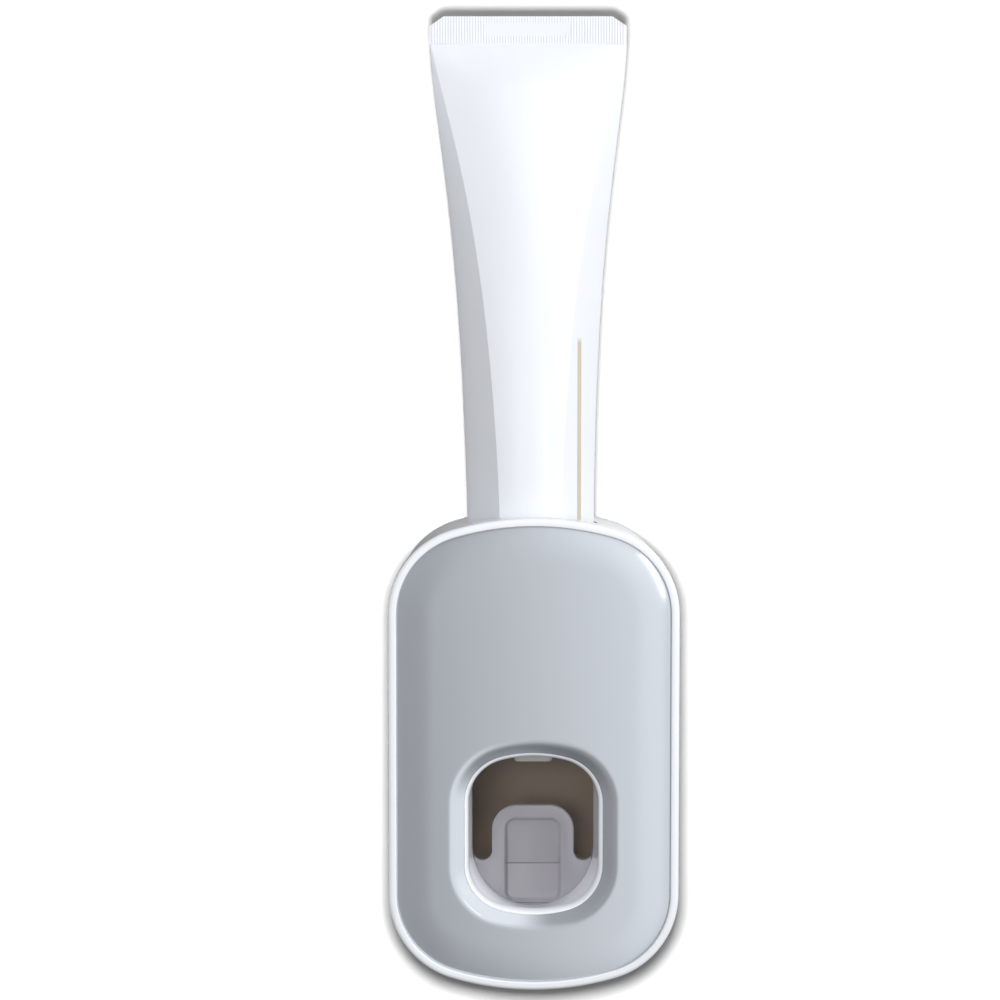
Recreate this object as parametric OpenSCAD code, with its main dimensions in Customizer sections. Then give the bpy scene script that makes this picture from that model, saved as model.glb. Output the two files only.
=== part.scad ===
// Wall-mounted toothpaste dispenser with a push lever.
// Frame: X to the right, Y toward the wall, Z up. The origin is the centre of the
// adhesive pad's back face. "Depth" is the distance out from the wall, so y = -depth.

/* [Body] */
// Width over the front rim
body_w = 92; // [88:1:100]
// Height over the front rim
body_h = 150.5; // [146:0.5:170]
// Depth from the wall to the front of the rim
body_depth = 61; // [60.5:0.5:66]
// Radius of the four outline corners
body_corner_r = 28; // [24:1:32]
// Radius of the bowed top and bottom edges
body_end_r = 92; // [84:2:130]
// Wall of both casing shells
shell_wall = 2.2; // [1.8:0.1:2.6]
// How far the casing sides stand in from the rim
side_inset = 1.2; // [0.6:0.1:2]
// Width of the front rim
rim_w = 3; // [2.4:0.1:4]
// How far the rim reaches back past the web that carries the face
rim_lap = 0.4; // [0.2:0.1:1]
// Radius of the rounded rear edge
rear_edge_r = 7; // [4:0.5:9]

/* [Face] */
// Width of the rolled edge round the face panel
roll_w = 8.5; // [6:0.5:11]
// Drop of the rolled edge
roll_drop = 2; // [1:0.1:2.2]
// Width of the soft bevel round the opening
bevel_w = 4.5; // [3.8:0.1:5]
// Depth of the soft bevel
bevel_drop = 5.4; // [4.6:0.1:5.8]

/* [Bay] */
// Width of the toothbrush opening
bay_w = 41.2; // [40.4:0.2:42.4]
// Height of the toothbrush opening
bay_h = 49.2; // [48:0.2:50.4]
// How far the opening's centre lies below the body's centre
bay_drop = 25.5; // [25:0.1:26.5]
// Corner radius of the opening
bay_corner_r = 13.8; // [12:0.2:16]
// Radius of the opening's bowed top and bottom
bay_end_r = 40; // [36:1:60]
// Wall of the bay liner
liner_wall = 1.2; // [1:0.1:1.4]

/* [Tube] */
// Diameter of the tube's sleeve
tube_d = 40; // [38:0.5:40.5]
// Length of the sleeve with its crimp
sleeve_len = 184.6; // [150:0.2:200]
// Height of the crimped end
crimp_h = 9; // [6:0.5:10]
// Thickness of the crimped end
crimp_t = 1.2; // [0.8:0.1:1.6]
// Diameter of the nozzle
nozzle_d = 12; // [11:0.5:13]
// Length of the nozzle
nozzle_len = 12; // [11:0.5:13]
// Height of the tube's shoulder
shoulder_h = 8; // [6:0.5:9]
// Sideways lean of the tube's top
tube_lean = 1.7; // [0:0.1:3]

/* [Lever] */
// Width of the lever's tongue
tongue_w = 26.6; // [24:0.2:27]
// Width of the slot on each side of the tongue
slot_w = 6; // [5:0.2:6]
// Thickness of the lever's plate
plate_t = 4.5; // [4:0.1:5]
// Width of the trough for the toothbrush
trough_w = 17.6; // [14:0.2:18]
// Swing of the lever
lever_swing = 13; // [8:0.5:13]
// Diameter of the pivot pins
pin_d = 3; // [2.5:0.5:4]
// Thickness of the lever's arms
arm_t = 2.5; // [2:0.1:2.6]

/* [Pump] */
// Outer diameter of the squeeze bulb
bulb_d = 18; // [16:0.5:18]
// Height of the squeeze bulb
bulb_h = 20; // [18:0.5:20]
// Wall of the squeeze bulb
bulb_wall = 1.6; // [1.2:0.1:2]
// Width of the spout
spout_w = 12; // [10:0.5:13]
// Wire diameter of the return springs
wire_d = 0.8; // [0.6:0.1:0.9]
// Turns of each return spring
spring_turns = 3; // [2:1:3]

/* [Wall plate] */
// Width of the wall plate
plate_w = 64; // [56:1:68]
// Height of the wall plate
plate_h = 88; // [80:1:90]
// Thickness of the wall plate
wall_plate_t = 3; // [2.6:0.1:3]
// Thickness of the adhesive pad
pad_t = 1; // [0.8:0.1:1.2]
// Length of the dovetail
dovetail_len = 40; // [30:1:42]

/* [Clearances] */
// Between parts of different groups
gap = 0.3; // [0.25:0.05:0.4]
// Round the tube where it enters the casing
tube_gap = 1; // [0.6:0.1:1]
// Radial running clearance on the pins and the nozzle
running_gap = 0.05; // [0.02:0.01:0.1]

/* [Hidden] */
$fn = 72;

// Casing stations, as depths from the wall
tube_depth = 36;
shell_back = pad_t + wall_plate_t - 1;
shell_inner = side_inset + shell_wall;
back_wall = shell_wall + 1.2;
panel_front = body_depth - 0.2;
panel_edge_t = 0.5;
panel_back = panel_front - roll_drop - panel_edge_t;
panel_gap = 0.15;
web_t = 1.6;
web_front = panel_back - 0.1;
web_back = web_front - web_t;
split_depth = web_back - rim_lap;
latch_len = 4;
latch_t = 1.6;

// Points on each corner and on each bowed end of an outline
corner_steps = 10;
end_steps = 8;

// Outlines as [half width, half height, corner radius, end radius]
body_outline = [body_w / 2, body_h / 2, body_corner_r, body_end_r];
bay_outline = [bay_w / 2, bay_h / 2, bay_corner_r, bay_end_r];

// Bay stations
bay_top = bay_h / 2 - bay_drop;
bay_bottom = -bay_drop - bay_h / 2;
liner_front = panel_front - bevel_drop + 0.4;
liner_taper_end = 39.6;
bay_floor_drop = 4.2;
bay_back_t = 1.6;
frame_t = 2.5;
frame_back = shell_back + back_wall + 7;
frame_front = frame_back + frame_t;
liner_back = frame_front + bay_back_t;

// Shield outline of the bay behind its mouth: two circles above, a wide one below
shield_top_r = 12;
shield_half_w = bay_w / 2 + 1.2;
shield_top = [shield_half_w - shield_top_r, bay_top - shield_top_r];
shield_low_r = bay_w / 2;
shield_low = [0, bay_bottom - bay_floor_drop + shield_low_r];

// Lever, drawn as seen from the front
lever_front = liner_taper_end + 0.4;
lever_back = lever_front - plate_t;
lever_inset = 0.4;
tongue_top = bay_top - 18.7;
tongue_r = 8;
slot_r = slot_w / 2;
slot_x = tongue_w / 2 + slot_r;
slot_low = tongue_top - 15;
trough_top = tongue_top - 4.4;
trough_low = bay_bottom - 0.8;
trough_crease = tongue_top - 19.4;
trough_r = 3;
ear_top = slot_low - 5.6;
ear_low = ear_top - 7;
ear_t = 3;
pivot_depth = 30;
pivot_z = bay_top - 3.1;
pin_r = pin_d / 2;
arm_in = shield_half_w + liner_wall + 0.6;
arm_out = arm_in + arm_t;
spring_room = 4.4;
cheek_in = arm_out + spring_room;
cheek_t = 2.5;
cheek_out = cheek_in + cheek_t;
hub_r = pin_r + 3;
ear_r = 3;
ear_mid = [lever_back + ear_t / 2, (ear_low + ear_top) / 2];
bumper_r = 2.2;
bumper_t = 1.8;
bumper_z = pivot_z - 19;
bumper_back = arm_front(bumper_z - bumper_r) + gap;

// The lever's foot swings through its lowest point, so it starts this much higher
foot_drop = pivot_z - (shield_low[1] - shield_low_r);
lever_lift = sqrt(pow(lever_front - pivot_depth, 2) + pow(foot_drop, 2)) - foot_drop;

// Depth of the lower arm's front edge at a height
function arm_front(height) =
    let (hub = [pivot_depth, pivot_z], along = ear_mid - hub,
         turn = atan2(along[1], along[0]) + acos((hub_r - ear_r) / norm(along)))
    pivot_depth + (hub_r - (height - pivot_z) * sin(turn)) / cos(turn);

// Pump stack, as heights
shelf_t = 2.5;
spout_low = bay_top - 2.6;
shelf_low = bay_top + liner_wall + 1.2;
bulb_low = shelf_low + shelf_t;
bulb_top = bulb_low + bulb_h;
bulb_r = bulb_d / 2;
shelf_high = bulb_top;
shelf_half = bulb_r + 5;
valve_r = 6.6;
valve_t = 1.2;
outlet_r = 5;
duct_r = 3.2;
socket_low = shelf_high + shelf_t;
socket_floor = 1.5;
nozzle_low = socket_low + socket_floor + 1;
nozzle_top = nozzle_low + nozzle_len;
sleeve_low = nozzle_top + shoulder_h;
sleeve_top = sleeve_low + sleeve_len;
tube_r = tube_d / 2;
nozzle_r = nozzle_d / 2;
seal_r = nozzle_r + 2.6;
funnel_r = tube_r - 3;
cone_low_r = nozzle_r + 1.5;
spout_depth = 47;
spout_front = spout_depth + 4;
yoke_low = bulb_low + 5;
yoke_h = 5;
yoke_back = liner_back + 0.4;
yoke_t = 3;

// Inner frame and its screws
frame_low = bay_bottom - 5.9;
frame_high = socket_low + 3.5;
frame_corner_r = 6;
screw_x = cheek_out - 5;
screw_in = 6;
screw_spots = [for (x = [-screw_x, screw_x], z = [frame_high - screw_in, frame_low + screw_in]) [x, z]];
screw_r = 1.5;
screw_head_r = 2.8;
screw_head_h = 2;
screw_len = 9;
boss_r = 3.6;

// How the round tube flattens toward its welded end
flatten_power = 1.71;
sleeve_fill = 48;

// Wall plate
wall_plate_front = pad_t + wall_plate_t;
dovetail_t = 4.5;
dovetail_w = 30;
dovetail_flare = 3;
dovetail_top = dovetail_len / 2 - 2;

// Stands a drawing made face-up (x across, y up, z out from the wall) against the wall
module stand() {
    rotate([90, 0, 0]) children();
}

// Moves round parts onto the tube's upright axis
module on_tube_axis(height = 0) {
    translate([0, -tube_depth, height]) children();
}

module both_sides() {
    children();
    mirror([1, 0, 0]) children();
}

function inset(outline, by) = [for (v = outline) v - by];
function corner_x(o) = o[0] - o[2];
function end_centre(o) = o[1] - o[3];
function corner_y(o) = end_centre(o) + sqrt(pow(o[3] - o[2], 2) - pow(corner_x(o), 2));
function tangent(o) = atan2(corner_y(o) - end_centre(o), corner_x(o));

// Points of a bowed, rounded rectangle
function quarter_points(o) = concat(
    arc_points([corner_x(o), corner_y(o)], o[2], 0, tangent(o), corner_steps),
    [for (i = [1 : end_steps / 2 - 1])
        let (t = tangent(o) + (90 - tangent(o)) * i / (end_steps / 2))
        [o[3] * cos(t), end_centre(o) + o[3] * sin(t)]]);
function outline_points(o) =
    let (q = quarter_points(o), n = len(q), top = [0, o[1]])
    concat(q, [top], [for (i = [n - 1 : -1 : 0]) [-q[i][0], q[i][1]]],
           [for (p = q) -p], [-top], [for (i = [n - 1 : -1 : 0]) [q[i][0], -q[i][1]]]);

module outline_2d(o) {
    polygon(outline_points(o));
}

// Solid through the outline at several stations, each [inset, depth]
module stack_outline(o, stations) {
    skin([for (s = stations) [for (p = outline_points(inset(o, s[0]))) [p[0], p[1], s[1]]]]);
}

function arc_points(centre, r, from, to, steps) =
    [for (i = [0 : steps]) let (t = from + (to - from) * i / steps) centre + r * [cos(t), sin(t)]];

// Rectangle with round corners, from its low-left to its top-right point
module rounded_box_2d(low, high, r) {
    steps = 8;
    polygon(concat(
        arc_points([high[0] - r, high[1] - r], r, 0, 90, steps),
        arc_points([low[0] + r, high[1] - r], r, 90, 180, steps),
        arc_points([low[0] + r, low[1] + r], r, 180, 270, steps),
        arc_points([high[0] - r, low[1] + r], r, 270, 360, steps)));
}

// Bar between two round ends of different radius
module taper_bar_2d(a, ra, b, rb) {
    along = atan2(b[1] - a[1], b[0] - a[0]);
    lean = acos((ra - rb) / norm(b - a));
    polygon(concat(arc_points(a, ra, along + lean, along + 360 - lean, 20),
                   arc_points(b, rb, along - lean, along + lean, 16)));
}

// Plate with round front corners, drawn in x and depth
module tongue_plate_2d(half, back, front, r) {
    steps = 8;
    polygon(concat(
        [[-half, back], [half, back]],
        arc_points([half - r, front - r], r, 0, 90, steps),
        arc_points([r - half, front - r], r, 90, 180, steps)));
}

// Points of the shield outline, grown outward by an amount
function shield_half(grow) = concat(
    arc_points(shield_low, shield_low_r + grow, -90, shield_side(), 12),
    arc_points(shield_top, shield_top_r + grow, shield_side(), 90, 8));
// Angle at which the side's straight stretch meets both circles
function shield_side() =
    let (d = shield_top - shield_low)
    atan2(d[1], d[0]) - acos((shield_low_r - shield_top_r) / norm(d));
function shield_points(grow) = both_halves(shield_half(grow));

// A right half that starts at the middle of the bottom, and its mirror image
function both_halves(half) = concat(half, [for (i = [len(half) - 1 : -1 : 1]) [-half[i][0], half[i][1]]]);

module shield_2d(grow = 0) {
    polygon(shield_points(grow));
}

// Dovetail section (x across, y as depth), grown for clearance
module dovetail_2d(grow) {
    half = dovetail_w / 2 + grow;
    polygon([[-half, wall_plate_front - 0.5], [half, wall_plate_front - 0.5],
             [half, wall_plate_front],
             [half + dovetail_flare, wall_plate_front + dovetail_t + grow],
             [-half - dovetail_flare, wall_plate_front + dovetail_t + grow],
             [-half, wall_plate_front]]);
}

// Upright bar of a section drawn in x and depth
module upright(low, high) {
    translate([0, 0, low]) linear_extrude(high - low) mirror([0, 1]) children();
}

module adhesive_pad() {
    margin = 2;
    color("gainsboro") stand()
        linear_extrude(pad_t)
            rounded_box_2d([margin - plate_w / 2, margin - plate_h / 2],
                           [plate_w / 2 - margin, plate_h / 2 - margin], 12);
}

module wall_plate() {
    color("whitesmoke") {
        stand() translate([0, 0, pad_t])
            linear_extrude(wall_plate_t)
                rounded_box_2d([-plate_w / 2, -plate_h / 2], [plate_w / 2, plate_h / 2], 14);
        upright(dovetail_top - dovetail_len, dovetail_top) dovetail_2d(0);
    }
}

// Rear casing: deep rounded tray, bosses for the frame and the pocket for the wall plate
module back_shell() {
    color("white") difference() {
        stand() tray(side_inset, rear_edge_r, shell_back, split_depth);
        stand() {
            difference() {
                tray(shell_inner, rear_edge_r - shell_wall, shell_back + back_wall, split_depth + 1);
                for (spot = screw_spots)
                    translate([spot[0], spot[1], shell_back])
                        cylinder(h = frame_back - shell_back, r = boss_r);
                rotate([-90, 0, 0]) dovetail_boss();
            }
            plate_pocket();
            for (spot = screw_spots)
                translate([spot[0], spot[1], frame_front - screw_len - 0.5])
                    cylinder(h = screw_len + 1, r = screw_r - 0.2);
        }
        upright(dovetail_top - dovetail_len - 1, dovetail_top + gap) dovetail_2d(gap);
        entry_window();
        tube_clearance();
    }
}

// Solid block in the casing's outline with a rounded rear edge
module tray(side, edge_r, low, high) {
    steps = 6;
    stack_outline(body_outline, concat(
        [for (i = [0 : steps]) let (t = 90 * i / steps)
            [side + edge_r * (1 - sin(t)), low + edge_r * (1 - cos(t))]],
        [[side, high]]));
}

module dovetail_boss() {
    half = dovetail_w / 2 + dovetail_flare + 4;
    low = dovetail_top - 2 * dovetail_len - 6;
    translate([-half, -frame_back, low])
        cube([2 * half, frame_back - shell_back - 1, dovetail_top + 4 - low]);
}

// Pocket in the back, open at the bottom so that the casing lifts off the plate
module plate_pocket() {
    translate([0, 0, -1])
        linear_extrude(wall_plate_front + gap + 1)
            rounded_box_2d([-plate_w / 2 - gap, -body_h], [plate_w / 2 + gap, plate_h / 2 + gap], 14);
}

module entry_window() {
    half = dovetail_w / 2 + dovetail_flare + 1;
    low = dovetail_top - 2 * dovetail_len - 4;
    translate([-half, -wall_plate_front - dovetail_t - gap, low])
        cube([2 * half, dovetail_t + 2, dovetail_top - dovetail_len - low]);
}

module tube_clearance() {
    on_tube_axis(sleeve_low - 4) cylinder(h = body_h, r = tube_r + tube_gap);
}

// Inner frame: back plate, cheeks for the pivot and two shelves for the pump
module pump_frame() {
    color("silver") difference() {
        union() {
            stand() translate([0, 0, frame_back])
                linear_extrude(frame_t)
                    rounded_box_2d([-cheek_out, frame_low], [cheek_out, frame_high], frame_corner_r);
            shelf(shelf_high, shelf_half + 4, tube_depth + shelf_half);
            shelf(shelf_low, shelf_half, spout_front - 2);
            both_sides() {
                cheek();
                shelf_rib();
            }
        }
        stand() for (spot = screw_spots)
            translate([spot[0], spot[1], frame_back - 1]) cylinder(h = frame_t + 2, r = screw_r + 0.1);
        translate([-cheek_out - 1, -pivot_depth, pivot_z])
            rotate([0, 90, 0]) cylinder(h = 2 * cheek_out + 2, r = pin_r);
        on_tube_axis(shelf_high - 1) cylinder(h = shelf_t + 2, r = valve_r + 0.1);
        on_tube_axis(shelf_low - 1) cylinder(h = shelf_t + 2, r = outlet_r);
    }
}

module shelf(low, half, front) {
    upright(low, low + shelf_t) tongue_plate_2d(half, frame_front - 1, front, 5);
}

// Gusset between the frame's plate and the top of the upper shelf
module shelf_rib() {
    rib_t = 2;
    reach = bulb_r + 3;
    root = -frame_front + 0.5;
    low = socket_low - 0.5;
    translate([shelf_half, 0, 0]) rotate([90, 0, 90])
        linear_extrude(rib_t)
            polygon([[root, low], [root - reach, low], [root, frame_high]]);
}

// Cheek beside the lever's arm, with the arm that carries the bumper
module cheek() {
    pivot = [-pivot_depth, pivot_z];
    root = [-frame_front - 2, pivot_z - 2];
    root_r = 2 * hub_r + 1;
    stop_depth = bumper_back + bumper_t;
    stop_half = bumper_r + 0.8;
    stop_in = (arm_in + arm_out) / 2 - bumper_r + 0.2;
    translate([cheek_in, 0, 0]) rotate([90, 0, 90])
        linear_extrude(cheek_t) {
            taper_bar_2d(pivot, hub_r + 1, root, root_r);
            taper_bar_2d(pivot, hub_r, [-stop_depth - 1, bumper_z], stop_half);
            translate(root - [0, root_r - 1]) square([3, 2 * root_r - 2]);
        }
    translate([stop_in, -stop_depth - cheek_t, bumper_z - stop_half])
        cube([cheek_in + 1 - stop_in, cheek_t, 2 * stop_half]);
}

module frame_screws() {
    color("gray") stand() for (spot = screw_spots)
        translate([spot[0], spot[1], frame_front]) {
            difference() {
                cylinder(h = screw_head_h, r1 = screw_head_r, r2 = screw_head_r - 0.5);
                for (turn = [0, 90])
                    rotate(turn) translate([-1.6, -0.3, 1]) cube([3.2, 0.6, 2]);
            }
            translate([0, 0, 0.1 - screw_len]) cylinder(h = screw_len, r = screw_r);
        }
}

// Tapered liner of the toothbrush bay, open to the front
module bay_liner() {
    color("white") difference() {
        stand() liner_solid(liner_wall, liner_front, liner_back);
        stand() {
            liner_solid(0, liner_front - 1, liner_back - 1);
            translate([0, -bay_drop, liner_front - 1.5])
                linear_extrude(3) outline_2d(bay_outline);
        }
        lever_ways();
        spout_way();
    }
}

module liner_solid(grow, front, back) {
    slab = 0.2;
    mouth_t = 1.6;
    hull() {
        translate([0, -bay_drop, front - mouth_t])
            linear_extrude(mouth_t) outline_2d(inset(bay_outline, -grow));
        translate([0, 0, liner_taper_end])
            linear_extrude(slab) shield_2d(grow);
    }
    translate([0, 0, back])
        linear_extrude(liner_taper_end - back + slab / 2) shield_2d(grow);
}

// Windows in the liner's sides, hidden behind the lever, for its ears
module lever_ways() {
    rear = pivot_depth - (pivot_z - ear_low) * sin(lever_swing) - 1
         + (lever_back - pivot_depth) * cos(lever_swing);
    translate([-arm_out, -lever_back - ear_t - 1, ear_low - 1.2])
        cube([2 * arm_out, lever_back + ear_t + 1 - rear, ear_top - ear_low + 2.2]);
}

module spout_way() {
    translate([-spout_w / 2 - gap, -spout_front - gap, spout_low - 1])
        cube([spout_w + 2 * gap, spout_front - tube_depth + 8 + 2 * gap, 12]);
}

module bay_back() {
    color([0.40, 0.36, 0.31]) stand() translate([0, 0, frame_front])
        linear_extrude(bay_back_t) shield_2d(liner_wall);
}

// Funnel that takes the tube's shoulder and holds the seal
module tube_socket() {
    slope = (tube_r - cone_low_r) / shoulder_h;
    drop = gap * sqrt(1 + slope * slope) / slope;
    funnel_top = nozzle_top + (funnel_r - cone_low_r) / slope - drop;
    foot_r = bulb_r + 6;
    foot_t = 2;
    neck_r = seal_r + 2.4;
    color("lightgray") on_tube_axis()
        rotate_extrude()
            polygon([[duct_r, socket_low], [foot_r, socket_low], [foot_r, socket_low + foot_t],
                     [neck_r, socket_low + foot_t + 1], [neck_r, nozzle_top - 2],
                     [funnel_r + 1, funnel_top], [funnel_r, funnel_top],
                     [seal_r, nozzle_top + (seal_r - cone_low_r) / slope - drop],
                     [seal_r, socket_low + socket_floor], [duct_r, socket_low + socket_floor]]);
}

// Silicone ring with three lips that grips the nozzle
module seal_ring() {
    bore = nozzle_r + running_gap;
    low = nozzle_low + 1;
    color("darkgray") on_tube_axis()
        rotate_extrude()
            polygon(concat(
                [[seal_r, low], [seal_r, low + 6]],
                [for (i = [2 : -1 : 0]) each [
                    [bore + 0.8, low + 2 * i + 2], [bore, low + 2 * i + 1.4],
                    [bore, low + 2 * i + 0.6], [bore + 0.8, low + 2 * i]]]));
}

// Flat silicone disc with a hinged flap
module inlet_valve() {
    flap_r = duct_r + 0.4;
    slit = 0.4;
    hinge_w = flap_r - 0.6;
    color("lightsteelblue") on_tube_axis(socket_low - valve_t) difference() {
        cylinder(h = valve_t, r = valve_r);
        difference() {
            translate([0, 0, -1]) cylinder(h = valve_t + 2, r = flap_r + slit);
            translate([0, 0, -2]) cylinder(h = valve_t + 4, r = flap_r);
            translate([-hinge_w / 2, 0, -2]) cube([hinge_w, flap_r + 2, valve_t + 4]);
        }
    }
}

module pump_bulb() {
    flange_r = bulb_r + 3;
    flange_t = 2;
    inner = bulb_r - bulb_wall;
    mouth_r = inner - 2;
    color("gainsboro") on_tube_axis()
        rotate_extrude()
            polygon([[mouth_r, bulb_low], [bulb_r, bulb_low], [bulb_r, bulb_top - flange_t],
                     [flange_r, bulb_top - flange_t], [flange_r, bulb_top], [inner - 1, bulb_top],
                     [inner, bulb_top - 3], [inner, bulb_low + 3], [mouth_r, bulb_low + 1]]);
}

// Ring under the bulb's flange that clamps it to the upper shelf
module bulb_retainer() {
    flange_t = 2;
    ring_h = 2 * flange_t;
    color("lightgray") on_tube_axis() difference() {
        translate([0, 0, bulb_top - ring_h]) cylinder(h = ring_h, r = shelf_half - 0.5);
        translate([0, 0, bulb_top - flange_t]) cylinder(h = flange_t + 1, r = bulb_r + 3);
        translate([0, 0, bulb_top - ring_h - 1]) cylinder(h = ring_h + 2, r = bulb_r);
    }
}

// Duckbill valve in the lower shelf
module outlet_valve() {
    bill_h = 2.5;
    bill_r = 2.2;
    slit = 0.2;
    color("lightsteelblue") on_tube_axis() difference() {
        union() {
            translate([0, 0, shelf_low]) cylinder(h = shelf_t, r = outlet_r);
            translate([0, 0, shelf_low - bill_h]) cylinder(h = bill_h + 0.5, r1 = 1, r2 = bill_r);
        }
        translate([0, 0, shelf_low]) cylinder(h = shelf_t + 1, r1 = bill_r - 0.8, r2 = outlet_r - 1.4);
        translate([-bill_r, -slit / 2, shelf_low - bill_h - 1]) cube([2 * bill_r, slit, bill_h + 2]);
    }
}

// Spout under the lower shelf: down, forward and down again over the brush
module spout() {
    channel_r = 1.5;
    inlet_r = 2.6;
    mouth_r = 1.9;
    turn_z = spout_low + 2.4;
    front_r = 2;
    color("gainsboro") difference() {
        upright(spout_low, shelf_low)
            rounded_box_2d([-spout_w / 2, tube_depth - 6], [spout_w / 2, spout_front], front_r);
        on_tube_axis(turn_z) cylinder(h = shelf_low - turn_z + 1, r = inlet_r);
        translate([0, -tube_depth, turn_z]) rotate([90, 0, 0])
            cylinder(h = spout_depth - tube_depth, r = channel_r);
        translate([0, -spout_depth, spout_low - 1]) cylinder(h = turn_z - spout_low + 1, r = mouth_r);
    }
}

module pivot_pins() {
    color("silver") both_sides()
        translate([arm_in - 0.6, -pivot_depth, pivot_z])
            rotate([0, 90, 0]) cylinder(h = cheek_out - arm_in + 0.6, r = pin_r);
}

// Torsion spring on each pin, with one leg on the frame and one on the lever's arm
module return_springs() {
    color("dimgray") both_sides() {
        coil_low = arm_out + 0.4;
        coil_len = spring_room - 0.8 - wire_d;
        coil_r = pin_r + 0.5 + wire_d;
        leg_len = pivot_z - bumper_z - bumper_r - 3.8;
        translate([coil_low + wire_d / 2, -pivot_depth, pivot_z])
            spring_coil(coil_r, coil_len);
        translate([coil_low + wire_d / 2, -pivot_depth - coil_r, pivot_z])
            rotate([180, 0, 0]) cylinder(h = leg_len, r = wire_d / 2);
        translate([coil_low + wire_d / 2 + coil_len, -pivot_depth, pivot_z + coil_r])
            rotate([-90, 0, 0]) cylinder(h = pivot_depth - frame_front - 0.1, r = wire_d / 2);
    }
}

// Helix round the X axis, from the front round to the top
module spring_coil(coil_r, coil_len) {
    per_turn = 16;
    sweep_deg = 360 * spring_turns - 90;
    steps = round(per_turn * sweep_deg / 360);
    sides = 6;
    rings = [for (i = [0 : steps])
        let (t = 180 + sweep_deg * i / steps, out = [0, cos(t), sin(t)], x = coil_len * i / steps)
        [for (k = [0 : sides - 1])
            let (u = 360 * k / sides)
            [x, 0, 0] + (coil_r + wire_d / 2 * cos(u)) * out - [wire_d / 2 * sin(u), 0, 0]]];
    skin(rings);
}

// Closed solid through a row of rings with equal counts of points, each ring
// running anticlockwise as seen from the last one
module skin(rings) {
    n = len(rings[0]);
    last = (len(rings) - 1) * n;
    polyhedron(
        points = [for (ring = rings) each ring],
        faces = concat(
            [[for (i = [0 : n - 1]) i]],
            [for (j = [0 : len(rings) - 2], i = [0 : n - 1]) each [
                [j * n + i, (j + 1) * n + i, (j + 1) * n + (i + 1) % n],
                [j * n + i, (j + 1) * n + (i + 1) % n, j * n + (i + 1) % n]]],
            [[for (i = [n - 1 : -1 : 0]) last + i]]));
}

// Rubber bumpers that stop the lever at rest
module lever_bumpers() {
    color("dimgray") both_sides()
        translate([(arm_in + arm_out) / 2, -bumper_back, bumper_z])
            rotate([90, 0, 0]) cylinder(h = bumper_t, r = bumper_r);
}

// Front cover: rounded rim, the web behind the face panel and a latch rail on each side
module front_shell() {
    rim_r = 1.2;
    edge = 0.3;
    color("white") {
        difference() {
            stand() stack_outline(body_outline,
                [[edge, split_depth], [0, split_depth + edge],
                 [0, body_depth - rim_r], [0.3 * rim_r, body_depth - 0.3 * rim_r], [rim_r, body_depth]]);
            stand() {
                translate([0, 0, split_depth - 1])
                    linear_extrude(web_back - split_depth + 1) outline_2d(inset(body_outline, shell_inner));
                translate([0, 0, web_front])
                    linear_extrude(body_depth - web_front + 1) outline_2d(inset(body_outline, rim_w));
                translate([0, -bay_drop, web_back - 1])
                    linear_extrude(web_t + 2)
                        outline_2d(inset(bay_outline, -(liner_wall + gap + bevel_w + gap)));
            }
            tube_clearance();
        }
        both_sides() latch_rail();
    }
}

// Rail that slides in behind the rear casing's side wall
module latch_rail() {
    outer = body_w / 2 - shell_inner - gap;
    half = corner_y(body_outline) - 8;
    translate([outer - latch_t, -web_back - 0.5, -half])
        cube([latch_t, latch_len + rim_lap + 0.5, 2 * half]);
}

// Face panel with a rolled edge and a soft bevel round the opening
module face_panel() {
    steps = 7;
    panel_outline = inset(body_outline, rim_w + panel_gap);
    bevel_in = liner_wall + gap;
    bevel_out = bevel_in + bevel_w;
    bevel_low = panel_front - bevel_drop;
    collar_low = bevel_low - 0.6;
    color([0.78, 0.80, 0.83]) stand() difference() {
        union() {
            stack_outline(panel_outline, concat(
                [[0, panel_back]],
                [for (i = [0 : steps]) let (t = 90 * i / steps)
                    [roll_w * (1 - cos(t)), panel_back + panel_edge_t + roll_drop * sin(t)]]));
            translate([0, -bay_drop, collar_low])
                linear_extrude(panel_front - collar_low - 0.5) outline_2d(inset(bay_outline, -bevel_out));
        }
        translate([0, -bay_drop, 0])
            stack_outline(bay_outline, concat(
                [[-bevel_in, collar_low - 1]],
                [for (i = [0 : steps]) let (t = 90 * i / steps)
                    [-bevel_in - bevel_w * (1 - cos(t)), bevel_low + bevel_drop * sin(t)]],
                [[-bevel_out, panel_front + 1]]));
    }
}

// Right half of the lever's outline: foot, shoulder, slot and tongue
function lever_half() =
    let (foot = shield_low + [0, lever_lift], foot_r = shield_low_r - lever_inset,
         shoulder = asin((slot_low - 1.2 * slot_r - foot[1]) / foot_r))
    concat(
        arc_points(foot, foot_r, -90, shoulder, 12),
        arc_points([slot_x, slot_low], slot_r, -25, -180, 10),
        arc_points([tongue_w / 2 - tongue_r, tongue_top - tongue_r], tongue_r, 0, 90, 8));

module lever_outline_2d() {
    polygon(both_halves(lever_half()));
}

// Push lever: plate with a trough, ears through the liner, side arms and a yoke
module push_lever() {
    color([0.62, 0.61, 0.65]) difference() {
        union() {
            stand() translate([0, 0, lever_back]) linear_extrude(plate_t) lever_outline_2d();
            both_sides() {
                translate([slot_x - 4, -lever_back - ear_t, ear_low])
                    cube([arm_out - slot_x + 4, ear_t, ear_top - ear_low]);
                lever_arm();
            }
            translate([-arm_out, -yoke_back - yoke_t, yoke_low])
                cube([2 * arm_out, yoke_t, yoke_h]);
        }
        trough();
        translate([-arm_out - 1, -pivot_depth, pivot_z])
            rotate([0, 90, 0]) cylinder(h = 2 * arm_out + 2, r = pin_r + running_gap);
    }
}

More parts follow.
